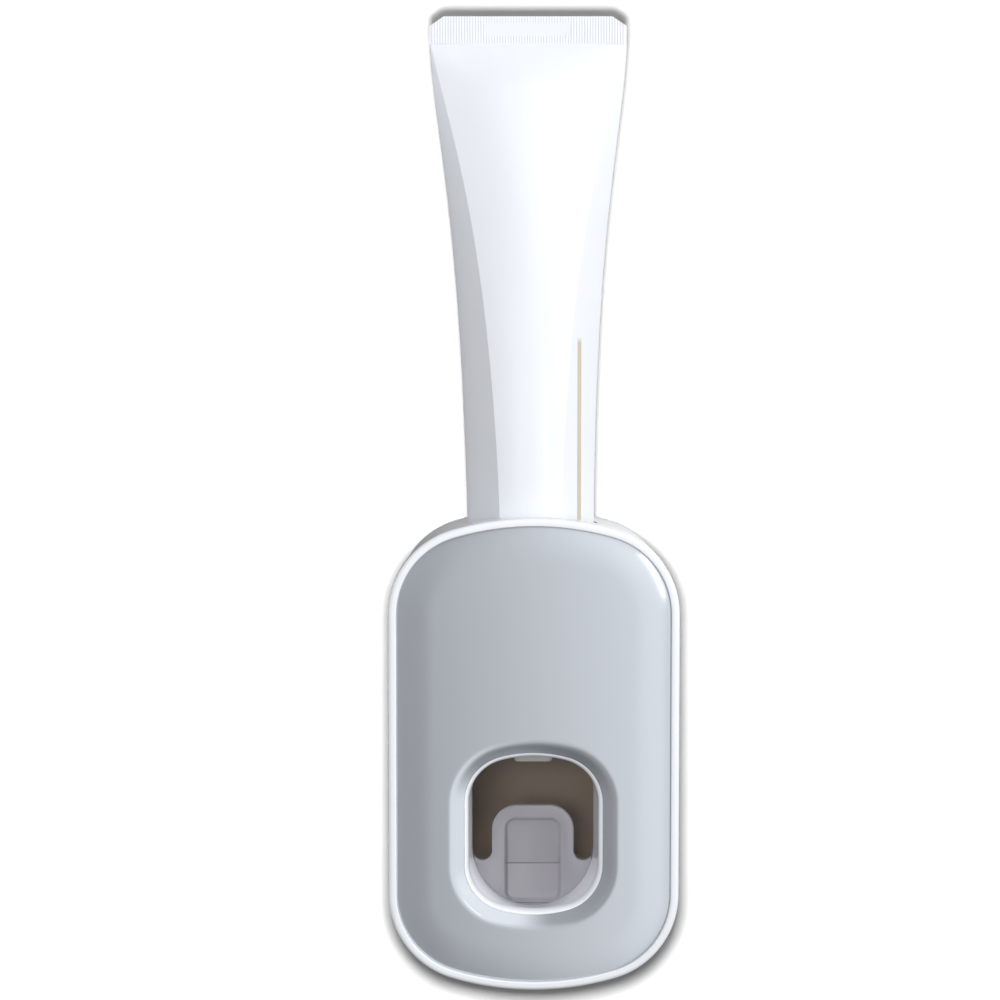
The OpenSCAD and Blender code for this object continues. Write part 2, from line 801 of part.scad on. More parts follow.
module lever_arm() {
    yoke_mid = [-yoke_back - yoke_t / 2, yoke_low + yoke_h / 2];
    translate([arm_in, 0, 0]) rotate([90, 0, 90])
        linear_extrude(arm_t) {
            taper_bar_2d([-pivot_depth, pivot_z], hub_r, [-ear_mid[0], ear_mid[1]], ear_r);
            taper_bar_2d([-pivot_depth, pivot_z], hub_r - 0.7, yoke_mid, yoke_h / 2 - 0.3);
            translate([-ear_mid[0] - ear_t / 2, ear_low]) square([ear_t, ear_top - ear_low]);
        }
}

// Trough for the toothbrush: two sloping floors that meet in a crease
module trough() {
    depth_top = 0.8;
    depth_mid = 2.6;
    depth_low = 1.3;
    intersection() {
        stand() translate([0, 0, lever_back]) linear_extrude(plate_t + 1)
            rounded_box_2d([-trough_w / 2, trough_low], [trough_w / 2, trough_top], trough_r);
        translate([-trough_w, 0, 0]) rotate([90, 0, 90])
            linear_extrude(2 * trough_w)
                polygon([[-lever_front - 1, trough_top + 1], [-lever_front + depth_top, trough_top + 1],
                         [-lever_front + depth_mid, trough_crease],
                         [-lever_front + depth_low, trough_low - 1], [-lever_front - 1, trough_low - 1]]);
    }
}

// Rounded nose on the yoke that squeezes the bulb
module presser_pad() {
    nose_depth = tube_depth - bulb_r - gap;
    nose_r = yoke_h / 2;
    half = 6;
    color("dimgray") translate([-half, 0, yoke_low + nose_r]) rotate([90, 0, 90])
        linear_extrude(2 * half) {
            translate([-nose_depth + nose_r, 0]) circle(nose_r);
            translate([-nose_depth + nose_r, -nose_r])
                square([nose_depth - nose_r - yoke_back - yoke_t, 2 * nose_r]);
        }
}

// Half width of the flattened sleeve from its half thickness, at a constant girth
function sleeve_half_w(half_t) =
    tube_r * (PI / 2 - (PI / 2 - 1) * pow(half_t / tube_r, flatten_power));

// Half thickness of the sleeve at a distance below the crimp
function sleeve_half_t(below) =
    let (full = 1 - exp(-(sleeve_len - crimp_h) / sleeve_fill))
    crimp_t / 2 + (tube_r - crimp_t / 2) * (1 - exp(-below / sleeve_fill)) / full;
function sleeve_x(z) = -tube_lean * (z - sleeve_low) / sleeve_len;

module tube_sleeve() {
    around = 40;
    levels = 16;
    top = sleeve_top - crimp_h;
    edge = 1.2;
    crowding = 1.4;
    function level(i) = top - (top - sleeve_low - edge) * pow(1 - i / levels, crowding);
    function ring(z, shrink) =
        let (t = sleeve_half_t(top - z), w = sleeve_half_w(t))
        [for (k = [0 : around - 1])
            let (u = 360 * k / around)
            [sleeve_x(z) + (w - shrink) * cos(u), (t - shrink) * sin(u), z]];
    color("white") on_tube_axis() {
        skin(concat([ring(sleeve_low, edge)], [for (i = [0 : levels]) ring(level(i), 0)]));
        crimp();
    }
}

// Flat welded end with clipped corners
module crimp() {
    half = sleeve_half_w(crimp_t / 2);
    low = sleeve_top - crimp_h;
    clip = 3;
    translate([0, crimp_t / 2, 0]) stand()
        linear_extrude(crimp_t)
            translate([sleeve_x(sleeve_top), low])
                polygon([[-half, -0.5], [half, -0.5],
                         [half, crimp_h - clip], [half - 1.5 * clip, crimp_h],
                         [1.5 * clip - half, crimp_h], [-half, crimp_h - clip]]);
}

// Hard shoulder and nozzle of the tube
module tube_head() {
    throat = nozzle_r - 2.2;
    edge = 1.2;
    color("gainsboro") on_tube_axis()
        rotate_extrude()
            polygon([[throat, nozzle_low], [nozzle_r, nozzle_low], [nozzle_r, nozzle_top],
                     [cone_low_r, nozzle_top], [tube_r - edge, sleeve_low - edge / 2],
                     [tube_r - edge, sleeve_low], [throat, sleeve_low]]);
}

adhesive_pad();
wall_plate();
back_shell();
pump_frame();
frame_screws();
bay_liner();
bay_back();
tube_socket();
seal_ring();
inlet_valve();
pump_bulb();
bulb_retainer();
outlet_valve();
spout();
pivot_pins();
return_springs();
lever_bumpers();
front_shell();
face_panel();
push_lever();
presser_pad();
tube_sleeve();
tube_head();
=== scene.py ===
# %% [markdown]
# A push-lever toothpaste dispenser.
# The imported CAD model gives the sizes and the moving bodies. This lesson dresses it: the
# glossy casing, the lever and the tube are modelled again with smooth curves, and the small
# inner parts keep their CAD shape and get a finish of their own.

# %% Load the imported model
import math

import bmesh
import bpy
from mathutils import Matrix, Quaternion, Vector


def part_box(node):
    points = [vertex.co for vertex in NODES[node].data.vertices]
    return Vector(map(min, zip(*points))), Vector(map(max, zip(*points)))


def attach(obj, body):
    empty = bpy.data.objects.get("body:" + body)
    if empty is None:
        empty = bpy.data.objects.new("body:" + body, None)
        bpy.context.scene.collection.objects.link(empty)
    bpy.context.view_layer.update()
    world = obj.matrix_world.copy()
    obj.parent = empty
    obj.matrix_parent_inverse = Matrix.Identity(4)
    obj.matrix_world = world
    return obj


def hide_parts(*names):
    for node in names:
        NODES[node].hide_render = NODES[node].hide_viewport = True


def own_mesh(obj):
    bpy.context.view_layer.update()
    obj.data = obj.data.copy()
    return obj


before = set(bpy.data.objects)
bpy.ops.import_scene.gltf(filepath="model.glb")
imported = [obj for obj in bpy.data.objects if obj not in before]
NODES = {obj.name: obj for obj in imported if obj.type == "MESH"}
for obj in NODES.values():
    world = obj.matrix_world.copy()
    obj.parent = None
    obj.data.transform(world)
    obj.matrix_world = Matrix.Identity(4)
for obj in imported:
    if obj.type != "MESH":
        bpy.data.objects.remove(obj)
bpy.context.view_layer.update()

# %% [markdown]
# All sizes below are in millimetres: x to the right, depth out from the wall, z up.
# Blender works in metres with y running into the wall, so one helper changes a place over.
# The largest sizes are read from the CAD nodes, so that a piece lands where its node is.

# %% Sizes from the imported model
MM = 0.001


def at(x, depth, z):
    return Vector((x * MM, -depth * MM, z * MM))


def span(node):
    """Width, height, front depth and back depth of a node, in millimetres."""
    low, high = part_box(node)
    return (high.x - low.x) / MM, (high.z - low.z) / MM, -low.y / MM, -high.y / MM


body_w, body_h, body_depth, split_depth = span("front_shell")
panel_front = span("face_panel")[2]
panel_back = panel_front - 2.5
shell_back = span("back_shell")[3]
sleeve_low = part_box("tube_sleeve")[0].z / MM
sleeve_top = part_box("tube_sleeve")[1].z / MM
bay_drop = 25.5
tube_depth = 36.0
tube_r = span("tube_sleeve")[2] - tube_depth
print(f"body {body_w:.1f} x {body_h:.1f} mm, front at {body_depth:.1f}, tube radius {tube_r:.2f}")

# %% [markdown]
# The camera stands where the photograph's did: level with the tube's lower half, a little
# to the left, looking slightly down, with a long lens that keeps the casing's sides out of
# sight. The frame is taken to be 1000 pixels square.

# %% Camera
CAMERA_DROP = math.radians(4.3)
CAMERA_DISTANCE = 900.0
CAMERA_TARGET = (-10.644, 61.0, 81.073)
IMAGE_SIZE = 1000
FOCAL_PIXELS = 2868.8

camera_data = bpy.data.cameras.new("camera")
camera_data.sensor_width = 36.0
camera_data.lens = FOCAL_PIXELS * camera_data.sensor_width / IMAGE_SIZE
camera = bpy.data.objects.new("camera", camera_data)
bpy.context.scene.collection.objects.link(camera)
look = Vector((0, math.cos(CAMERA_DROP), -math.sin(CAMERA_DROP)))
camera.location = at(*CAMERA_TARGET) - look * CAMERA_DISTANCE * MM
camera.rotation_mode = "QUATERNION"
camera.rotation_quaternion = look.to_track_quat("-Z", "Y")
bpy.context.scene.camera = camera
print(f"camera {camera_data.lens:.1f} mm at {tuple(round(v, 3) for v in camera.location)}")

# %% [markdown]
# Shader maths reads best as plain arithmetic. One small class wraps a node's socket and
# overloads the operators, so that an expression on values adds its Math nodes. A second
# class adds any other node to a tree, and a third builds on it to hold one finish: its
# shader, its constants and its usual steps.

# %% Shader helpers


def shade(red, green, blue):
    """A colour as it is seen on screen, 0 to 255, as linear light."""
    def lift(v):
        v /= 255.0
        return v / 12.92 if v <= 0.04045 else ((v + 0.055) / 1.055) ** 2.4
    return (lift(red), lift(green), lift(blue), 1.0)


class Value:
    """One socket that carries a number."""

    def __init__(self, nodes, socket):
        self.nodes = nodes
        self.socket = socket

    def math(self, operation, *others):
        inputs = dict(enumerate((self, *others)))
        node = self.nodes.add("ShaderNodeMath", {"operation": operation}, inputs)
        return Value(self.nodes, node.outputs[0])

    def __add__(self, other):
        return self.math("ADD", other)

    def __sub__(self, other):
        return self.math("SUBTRACT", other)

    def __mul__(self, other):
        return self.math("MULTIPLY", other)

    def __rsub__(self, other):
        return self.math("MULTIPLY", -1.0).math("ADD", other)

    __radd__ = __add__
    __rmul__ = __mul__

    def ramp(self, start, end, low=0.0, high=1.0):
        """A soft change from low to high between two values."""
        node = self.nodes.add("ShaderNodeMapRange", {"interpolation_type": "SMOOTHSTEP"}, {
            "Value": self, "From Min": start, "From Max": end, "To Min": low, "To Max": high})
        return Value(self.nodes, node.outputs["Result"])

    def above(self, edge, soft):
        """0 below the edge, 1 above it, with a soft change as wide as said."""
        return self.ramp(edge - soft / 2, edge + soft / 2)


class Nodes:
    """A node tree, with one method that adds any node."""

    def __init__(self, tree):
        self.tree = tree

    def add(self, kind, settings=None, inputs=None):
        node = self.tree.nodes.new(kind)
        for name, value in (settings or {}).items():
            setattr(node, name, value)
        for name, value in (inputs or {}).items():
            self.feed(node.inputs[name], value)
        return node

    def feed(self, socket, value):
        value = value.socket if isinstance(value, Value) else value
        if isinstance(value, bpy.types.NodeSocket):
            self.tree.links.new(value, socket)
        else:
            socket.default_value = value


class Finish(Nodes):
    """One material, with its Principled shader and the nodes that feed it."""

    def __init__(self, name, colour, **constants):
        self.material = bpy.data.materials.new(name)
        self.material.use_nodes = True
        super().__init__(self.material.node_tree)
        self.shader = self.tree.nodes["Principled BSDF"]
        self.shader.inputs["Base Color"].default_value = colour
        self.colour = colour
        for socket, value in constants.items():
            socket = socket.replace("_", " ").title().replace("Ior", "IOR")
            self.shader.inputs[socket].default_value = value
        self.place = self.add("ShaderNodeTexCoord").outputs["Object"]
        self.axes = None

    def axis(self, letter):
        """The surface point's own x, y or z, in millimetres."""
        if self.axes is None:
            self.axes = self.add("ShaderNodeSeparateXYZ", inputs={"Vector": self.place})
        return Value(self, self.axes.outputs[letter.upper()]) * (1 / MM)

    def noise(self, size, detail=2.0, stretch=(1, 1, 1)):
        """Cloudy noise from 0 to 1 whose lumps are about size millimetres across."""
        spread = self.add("ShaderNodeMapping", inputs={"Vector": self.place, "Scale": stretch})
        node = self.add("ShaderNodeTexNoise", inputs={
            "Vector": spread.outputs["Vector"], "Scale": 1 / (size * MM), "Detail": detail})
        return Value(self, node.outputs[0])

    def cells(self, size):
        node = self.add("ShaderNodeTexVoronoi", inputs={"Vector": self.place, "Scale": 1 / (size * MM)})
        return Value(self, node.outputs["Distance"])

    def mix(self, factor, first, second):
        inputs = {0: factor, 6: first, 7: second}
        return self.add("ShaderNodeMix", {"data_type": "RGBA"}, inputs).outputs[2]

    def set(self, socket, value):
        self.feed(self.shader.inputs[socket], value)

    def bump(self, height, depth_mm, strength=1.0):
        node = self.add("ShaderNodeBump", inputs={
            "Height": height, "Strength": strength, "Distance": depth_mm * MM})
        self.set("Normal", node.outputs["Normal"])

    def tinted(self, amount, size=25.0):
        """Lets the colour drift a little, as moulded plastic does."""
        r, g, b, a = self.colour
        darker = (r * (1 - amount), g * (1 - amount), b * (1 - amount), a)
        self.set("Base Color", self.mix(self.noise(size), self.colour, darker))


# %% [markdown]
# The outer casing is polished white ABS. Real polished plastic isn't perfectly even: it has
# a faint orange-peel ripple and soft smudges, which show only in the highlights. So the
# colour drifts by a percent or two, and the noise feeds the roughness and a weak bump.

# %% Polished and satin plastics


def polished(name, colour, roughness=0.14, peel=0.006, coat=0.0, metallic=0.0):
    finish = Finish(name, colour, roughness=roughness, metallic=metallic, coat_weight=coat,
                    coat_roughness=0.04)
    finish.tinted(0.02, 40.0)
    finish.set("Roughness", finish.noise(18.0, 3.0) * 0.07 + (roughness - 0.035))
    finish.bump(finish.noise(5.0, 1.0) + finish.noise(1.4, 1.0) * 0.3, peel)
    return finish


def satin(name, colour, roughness=0.42):
    """Moulded plastic with a fine spark-eroded grain."""
    finish = Finish(name, colour, roughness=roughness)
    finish.tinted(0.05)
    grain = finish.noise(0.35, 2.0)
    finish.set("Roughness", finish.noise(9.0) * 0.1 + grain * 0.06 + (roughness - 0.08))
    finish.bump(grain, 0.012, 0.6)
    return finish


WHITE = polished("polished_white", shade(240, 243, 248)).material
FACE = polished("silver_grey_face", shade(210, 216, 224), roughness=0.11, peel=0.004, coat=0.8,
                metallic=0.6).material
LEVER = polished("lavender_grey_lever", shade(160, 157, 164), roughness=0.16, peel=0.004,
                 coat=0.5).material
PALE = satin("pale_spout_plastic", shade(196, 197, 190), 0.34).material
HARD_WHITE = satin("hard_white_plastic", shade(236, 237, 238), 0.36).material
GREY = satin("satin_grey_plastic", shade(186, 189, 194)).material
TAUPE = satin("taupe_back_plastic", shade(150, 135, 121), 0.5).material
print("made", len(bpy.data.materials), "materials so far")

# %% [markdown]
# Four finishes are not hard plastic. Silicone is soft and slightly see-through, rubber is
# dark and dull, steel is drawn or turned so that its streaks run one way, and foam tape is
# full of tiny bubbles, whose pits are painted darker as shade.

# %% Silicone, steel and foam


def silicone():
    finish = Finish("milky_silicone", shade(214, 219, 224), roughness=0.38, subsurface_weight=0.35,
                    subsurface_scale=0.002)
    finish.tinted(0.06, 7.0)
    finish.set("Roughness", finish.noise(3.0, 3.0) * 0.18 + 0.3)
    finish.bump(finish.noise(0.8), 0.01, 0.5)
    return finish.material


def dark_rubber():
    finish = Finish("dark_rubber", shade(74, 74, 78), roughness=0.6)
    finish.tinted(0.2, 2.0)
    finish.bump(finish.noise(0.3), 0.015, 0.7)
    return finish.material


def steel():
    finish = Finish("turned_steel", shade(190, 190, 192), metallic=1.0, roughness=0.3)
    finish.tinted(0.12, 4.0)
    streak = finish.noise(0.25, 3.0, (0.05, 1, 1))
    finish.set("Roughness", streak * 0.2 + 0.18)
    finish.bump(streak, 0.006, 0.6)
    return finish.material


def foam():
    finish = Finish("foam_tape", shade(222, 222, 220), roughness=0.8)
    bubble = finish.cells(0.5)
    r, g, b, a = finish.colour
    # The bubbles' pits, where the bump dips, are painted a fifth darker: painted shade in the pits.
    finish.set("Base Color", finish.mix(bubble, (r * 0.8, g * 0.8, b * 0.8, a), finish.colour))
    finish.bump(bubble, 0.12)
    return finish.material


SILICONE = silicone()
RUBBER = dark_rubber()
STEEL = steel()
FOAM = foam()
print("made", len(bpy.data.materials), "materials so far")

# %% [markdown]
# The tube is a white laminate, a little creased toward its flat end, with one thin gold
# stripe. The stripe is a mask worked out from places in millimetres. It mixes the colours
# and makes the stripe metallic.

# %% Tube laminate
STRIPE_X = 14.6
STRIPE_W = 1.3
STRIPE_TOP = 131.0


def laminate():
    finish = Finish("white_laminate", shade(238, 241, 247), roughness=0.2, coat_weight=0.6,
                    coat_roughness=0.06)
    x, y, z = finish.axis("x"), finish.axis("y"), finish.axis("z")
    front = (y * -1.0).above(tube_depth, 2.0)
    across = (x - STRIPE_X).math("ABSOLUTE")
    stripe = (1 - across.above(STRIPE_W / 2, 0.15)) * front * (1 - z.above(STRIPE_TOP, 3.0))
    gold = finish.mix(finish.noise(2.0, 3.0, (1, 1, 0.1)), shade(219, 208, 186), shade(192, 179, 158))
    paper = finish.mix(finish.noise(30.0), finish.colour, shade(232, 236, 243))
    finish.set("Base Color", finish.mix(stripe, paper, gold))
    finish.set("Metallic", stripe * 0.55)
    finish.set("Roughness", finish.noise(12.0, 3.0) * 0.1 + 0.14)
    creases = finish.noise(14.0, 3.0, (1, 1, 0.35)) * z.above(sleeve_top - 60, 110.0)
    finish.bump(creases + finish.noise(2.2) * 0.03, 0.6, 0.5)
    return finish.material


LAMINATE = laminate()
print("materials:", ", ".join(sorted(m.name for m in bpy.data.materials)))

# %% [markdown]
# Every shell of the casing follows one outline: a rectangle with round corners whose top and
# bottom bow outward. It is drawn as a quarter, from the middle of the right side up to the
# middle of the top, and mirrored. All outlines have the same count of points, so that any
# two of them can be joined by clean quads.

# %% Outlines
SIDE_STEPS = 10
CORNER_STEPS = 18
END_STEPS = 14
body_corner_r = 28.0
body_end_r = 92.0
bay_w, bay_h = 41.2, 49.2
bay_corner_r = 13.8
bay_end_r = 40.0


def arc(centre, r, start, end, steps):
    return [(centre[0] + r * math.cos(start + (end - start) * i / steps),
             centre[1] + r * math.sin(start + (end - start) * i / steps)) for i in range(steps + 1)]


def line(a, b, steps):
    return [(a[0] + (b[0] - a[0]) * i / steps, a[1] + (b[1] - a[1]) * i / steps)
            for i in range(steps + 1)]


def quarter(half_w, half_h, corner_r, end_r):
    corner_x = half_w - corner_r
    end_z = half_h - end_r
    corner_z = end_z + math.sqrt((end_r - corner_r) ** 2 - corner_x ** 2)
    meet = math.atan2(corner_z - end_z, corner_x)
    return (line((half_w, 0), (half_w, corner_z), SIDE_STEPS)
            + arc((corner_x, corner_z), corner_r, 0, meet, CORNER_STEPS)[1:]
            + arc((0, end_z), end_r, meet, math.pi / 2, END_STEPS)[1:])


def mirrored_ring(upper, lower):
    """A whole ring, anticlockwise from the right, out of its two right-hand quarters."""
    return (upper + [(-x, z) for x, z in upper[-2::-1]]
            + [(-x, z) for x, z in lower[1:]] + lower[-2:0:-1])


def body_ring(inset):
    q = quarter(body_w / 2 - inset, body_h / 2 - inset, body_corner_r - inset, body_end_r - inset)
    return mirrored_ring(q, [(x, -z) for x, z in q])


def bay_ring(grow):
    q = quarter(bay_w / 2 + grow, bay_h / 2 + grow, bay_corner_r + grow, bay_end_r + grow)
    return [(x, z - bay_drop) for x, z in mirrored_ring(q, [(x, -z) for x, z in q])]


print("points on each outline:", len(body_ring(0)))

# %% [markdown]
# A shell is made as a sculptor's armature is: one ring of vertices is added, and its edges
# are extruded again and again, each time moved to the next ring's place. The ends are then
# capped, or the last ring meets the first and their doubles are merged.

# %% Lofting helper


def deselect():
    bpy.ops.object.select_all(action="DESELECT")


def select_only(*pieces):
    """Selects these pieces and makes the first one active."""
    deselect()
    for piece in pieces:
        piece.select_set(True)
    bpy.context.view_layer.objects.active = pieces[0]


def loft(name, rings, cap=True, meet=False):
    """A mesh through rings of places, each a list of Vectors with the same count."""
    deselect()
    count = len(rings[0])
    bpy.ops.mesh.primitive_circle_add(vertices=count, radius=0.01)
    piece = bpy.context.object
    piece.name = piece.data.name = name
    bpy.ops.object.mode_set(mode="EDIT")
    mesh = bmesh.from_edit_mesh(piece.data)
    order = mesh.verts.layers.int.new("order")
    for i, vertex in enumerate(mesh.verts):
        vertex[order] = i
        vertex.co = rings[0][i]
    for ring in rings[1:]:
        bpy.ops.mesh.extrude_edges_indiv()
        mesh = bmesh.from_edit_mesh(piece.data)
        order = mesh.verts.layers.int["order"]
        for vertex in mesh.verts:
            if vertex.select:
                vertex.co = ring[vertex[order]]
    if meet:
        bpy.ops.mesh.select_all(action="SELECT")
        bpy.ops.mesh.remove_doubles(threshold=1e-7)
    elif cap:
        bpy.ops.mesh.select_all(action="DESELECT")
        bpy.ops.mesh.select_non_manifold()
        bpy.ops.mesh.edge_face_add()
    bpy.ops.mesh.select_all(action="SELECT")
    bpy.ops.mesh.normals_make_consistent(inside=False)
    bpy.ops.object.mode_set(mode="OBJECT")
    piece.data.attributes.remove(piece.data.attributes["order"])
    piece.location = (0, 0, 0)
    return piece


def flat_ring(points, depth):
    return [at(x, depth, z) for x, z in points]


def prism(name, points, low, high, axis="depth"):
    """A straight solid of a drawn section, along the depth, x or z."""
    turn = {"depth": lambda a, b, s: at(a, s, b), "x": lambda a, b, s: at(s, a, b),
            "z": lambda a, b, s: at(a, b, s)}[axis]
    return loft(name, [[turn(a, b, s) for a, b in points] for s in (low, high)])


def box_points(low, high):
    return [(low[0], low[1]), (high[0], low[1]), (high[0], high[1]), (low[0], high[1])]


def soft_box_points(low, high, r, steps=8):
    turn = math.pi / 2
    centres = [(high[0] - r, high[1] - r), (low[0] + r, high[1] - r),
               (low[0] + r, low[1] + r), (high[0] - r, low[1] + r)]
    return [p for i, c in enumerate(centres) for p in arc(c, r, i * turn, (i + 1) * turn, steps)]


def rod(name, centre, r, length, axis="Z", sides=64):
    """A round bar that starts at centre and runs along +X, -Y (depth) or +Z."""
    def place(angle, along):
        a, b = r * math.cos(angle), r * math.sin(angle)
        x, depth, z = centre
        return {"X": at(x + along, depth + a, z + b), "Y": at(x + a, depth + along, z + b),
                "Z": at(x + a, depth + b, z + along)}[axis]
    return loft(name, [[place(2 * math.pi * k / sides, along) for k in range(sides)]
                       for along in (0.0, length)])


# %% [markdown]
# Holes and joined parts are Boolean modifiers, applied at once. The tool piece is deleted
# afterwards. A finished piece is smoothed by angle, gets its finish, is parented to an empty
# for the body it rides on, and hides the CAD nodes it stands for.

# %% Cutting and finishing helpers


def combine(piece, tool, how):
    select_only(piece)
    step = piece.modifiers.new("combine", "BOOLEAN")
    step.operation = how
    step.object = tool
    step.solver = "EXACT"
    bpy.ops.object.modifier_apply(modifier=step.name)
    bpy.data.objects.remove(tool)
    return piece


def cut(piece, *tools):
    for tool in tools:
        combine(piece, tool, "DIFFERENCE")
    return piece


def unite(piece, *tools):
    for tool in tools:
        combine(piece, tool, "UNION")
    return piece


def soften(piece, width, segments=3, angle=40):
    """Rounds the sharp edges, as a mould does."""
    select_only(piece)
    step = piece.modifiers.new("soften", "BEVEL")
    step.width = width * MM
    step.segments = segments
    step.limit_method = "ANGLE"
    step.angle_limit = math.radians(angle)
    step.use_clamp_overlap = True
    bpy.ops.object.modifier_apply(modifier=step.name)
    return piece


def finish_piece(piece, body, material, nodes=(), smooth=32):
    select_only(piece)
    bpy.ops.object.shade_smooth_by_angle(angle=math.radians(smooth))
    piece.data.materials.clear()
    piece.data.materials.append(material)
    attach(piece, body)
    if nodes:
        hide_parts(*nodes)
    print(f"{piece.name}: {len(piece.data.polygons)} faces on {body}")
    return piece


# %% [markdown]
# The front cover is a shallow ring. From the outside one sees only its rim, a white band
# under three millimetres wide with rounded edges. Behind the face panel a flat web carries
# the panel, with a hole for the bay. One closed section, run round the outline, makes it all.

# %% Front cover
rim_w = 2.6
rim_r = 1.2
rim_edge_r = 0.5
web_front = panel_back - 0.1
web_back = web_front - 1.6
shell_inner = 3.4
bay_hole = 6.3
rail_in, rail_out = 40.7, 42.3
rail_depth = 4.4
rail_half = 36.7


def tube_hole():
    """The bore through the top of both shells, a millimetre wider than the tube all round."""
    return rod("tube_hole", (0, tube_depth, sleeve_low - 4), tube_r + 1, 60, sides=96)


def rounded_step(inset, depth, r, start, end, steps):
    """Stations [inset, depth] round a quarter circle, for the section of a shell."""
    return [(inset + r * math.cos(t), depth + r * math.sin(t))
            for t in [start + (end - start) * i / steps for i in range(steps + 1)]]


def front_cover():
    half = math.pi / 2
    outside = ([(0.3, split_depth), (0.0, split_depth + 0.3)]
               + rounded_step(rim_r, body_depth - rim_r, rim_r, 2 * half, half, 8)
               + rounded_step(rim_w - rim_edge_r, body_depth - rim_edge_r, rim_edge_r, half, 0, 5)
               + [(rim_w, web_front + 0.2), (rim_w, web_front)])
    rings = [flat_ring(body_ring(i), d) for i, d in outside]
    rings += [flat_ring(bay_ring(bay_hole), web_front), flat_ring(bay_ring(bay_hole), web_back)]
    rings += [flat_ring(body_ring(shell_inner), depth) for depth in (web_back, split_depth)]
    rings.append(rings[0])
    cover = loft("front_cover", rings, meet=True)
    cut(cover, tube_hole())
    for side in (-1, 1):
        x = sorted((side * rail_out, side * rail_in))
        section = box_points((x[0], web_back - rail_depth), (x[1], web_back + 0.5))
        unite(cover, soften(prism("rail", section, -rail_half, rail_half, "z"), 0.4, 2))
    return finish_piece(cover, "cover", WHITE, ["front_shell"])


front_cover()

# %% [markdown]
# The face panel is one glossy skin: almost flat, rolled down all round to the rim, and turned
# in at the opening to a chamfer with a soft brow. A dead flat panel would mirror the room
# like a window, and no moulded panel is that flat, so it falls off by about half a
# millimetre toward its edges.

# %% Face panel
roll_w = 14.0
roll_start = math.radians(35)
bevel_in = 1.36
bevel_out = 3.7
bevel_drop = 5.4
bevel_low = panel_front - bevel_drop
bevel_slope = math.radians(39)
brow_start = 7.0
BROW_STEPS = 14
BROW_POWER = 2.2
collar = bay_hole - 0.3
CROWN_SIDE = 0.6
CROWN_END = 0.55


def face_depth(x, z):
    return panel_front - CROWN_SIDE * (2 * x / body_w) ** 2 - CROWN_END * (2 * z / body_h) ** 4


def between(a, b, t):
    return [(p[0] + (q[0] - p[0]) * t, p[1] + (q[1] - p[1]) * t) for p, q in zip(a, b)]


def bevel_section(steps):
    """Stations [distance from the opening, drop below the face] of the opening's edge.

    A soft brow turns ever faster into a flat chamfer, and a short wall ends it.
    """
    step = (brow_start - bevel_out) / steps
    drop = 0.0
    section = [(brow_start, drop)]
    for i in range(steps):
        drop += step * math.tan(bevel_slope * ((i + 0.5) / steps) ** BROW_POWER)
        section.append((section[-1][0] - step, drop))
    foot = drop + (bevel_out - bevel_in) * math.tan(bevel_slope)
    return section + line(section[-1], (bevel_in, foot), 4)[1:] + [(bevel_in, bevel_drop)]


def face_panel():
    edge = rim_w + 0.05
    shoulder = panel_back + 0.5
    steps = 14
    rings = [flat_ring(body_ring(edge), panel_back)]
    for i in range(steps + 1):
        t = roll_start + (math.pi / 2 - roll_start) * i / steps
        for_roll = body_ring(edge + roll_w * (math.cos(roll_start) - math.cos(t)))
        rings.append([at(x, shoulder + (face_depth(x, z) - shoulder) * math.sin(t), z)
                      for x, z in for_roll])
    section = bevel_section(BROW_STEPS)
    outer, inner = body_ring(edge + roll_w * math.cos(roll_start)), bay_ring(section[0][0])
    for i in range(1, 12):
        rings.append([at(x, face_depth(x, z), z) for x, z in between(outer, inner, i / 12)])
    for away, drop in section:
        rings.append([at(x, face_depth(x, z) - drop, z) for x, z in bay_ring(away)])
    for away, depth in ((bevel_in, bevel_low - 0.6), (collar, bevel_low - 0.6), (collar, panel_back)):
        rings.append(flat_ring(bay_ring(away), depth))
    rings.append(rings[0])
    return finish_piece(loft("face", rings, meet=True), "cover", FACE, ["face_panel"])


face_panel()

# %% [markdown]
# Inside the opening stands the liner of the toothbrush bay. Its front edge is the thin white
# lip round the opening. Its wall runs in to the lever and closes round the lever's foot there,
# then steps out to a shield shape that leaves the lever room to swing.

# %% Bay liner
bay_top = bay_h / 2 - bay_drop
bay_bottom = -bay_h / 2 - bay_drop
liner_front = bevel_low + 0.4
liner_back = span("bay_back")[2]
taper_end = 39.6
liner_wall = 1.2
mouth_t = 1.6
shield_top = (9.8, bay_top - 12)
shield_low_r = 20.6
shield_low = (0.0, bay_bottom - 4.2 + shield_low_r)
lever_front = 40.0
lever_foot = (0.0, shield_low[1] + 0.98)
throat_r = 19.6
throat_corner_r = 13.2
lip_drop = 0.6
ear_rear, ear_front = 24.6, 39.5
ear_low, ear_high = -48.4, -39.2


def shield_ring(grow):
    top, top_r = shield_top, 12 + grow
    low, low_r = shield_low, shield_low_r + grow
    reach = math.hypot(top[0] - low[0], top[1] - low[1])
    side = math.atan2(top[1] - low[1], top[0] - low[0]) - math.acos((low_r - top_r) / reach)
    upper_side, lower_side = arc(top, top_r, side, side, 1)[0], arc(low, low_r, side, side, 1)[0]
    middle = ((upper_side[0] + lower_side[0]) / 2, (upper_side[1] + lower_side[1]) / 2)
    upper = (line(middle, upper_side, SIDE_STEPS) + arc(top, top_r, side, math.pi / 2, CORNER_STEPS)[1:]
             + line((top[0], top[1] + top_r), (0, top[1] + top_r), END_STEPS)[1:])
    lower = (line(middle, lower_side, SIDE_STEPS)
             + arc(low, low_r, side, -math.pi / 2, CORNER_STEPS + END_STEPS)[1:])
    return mirrored_ring(upper, lower)


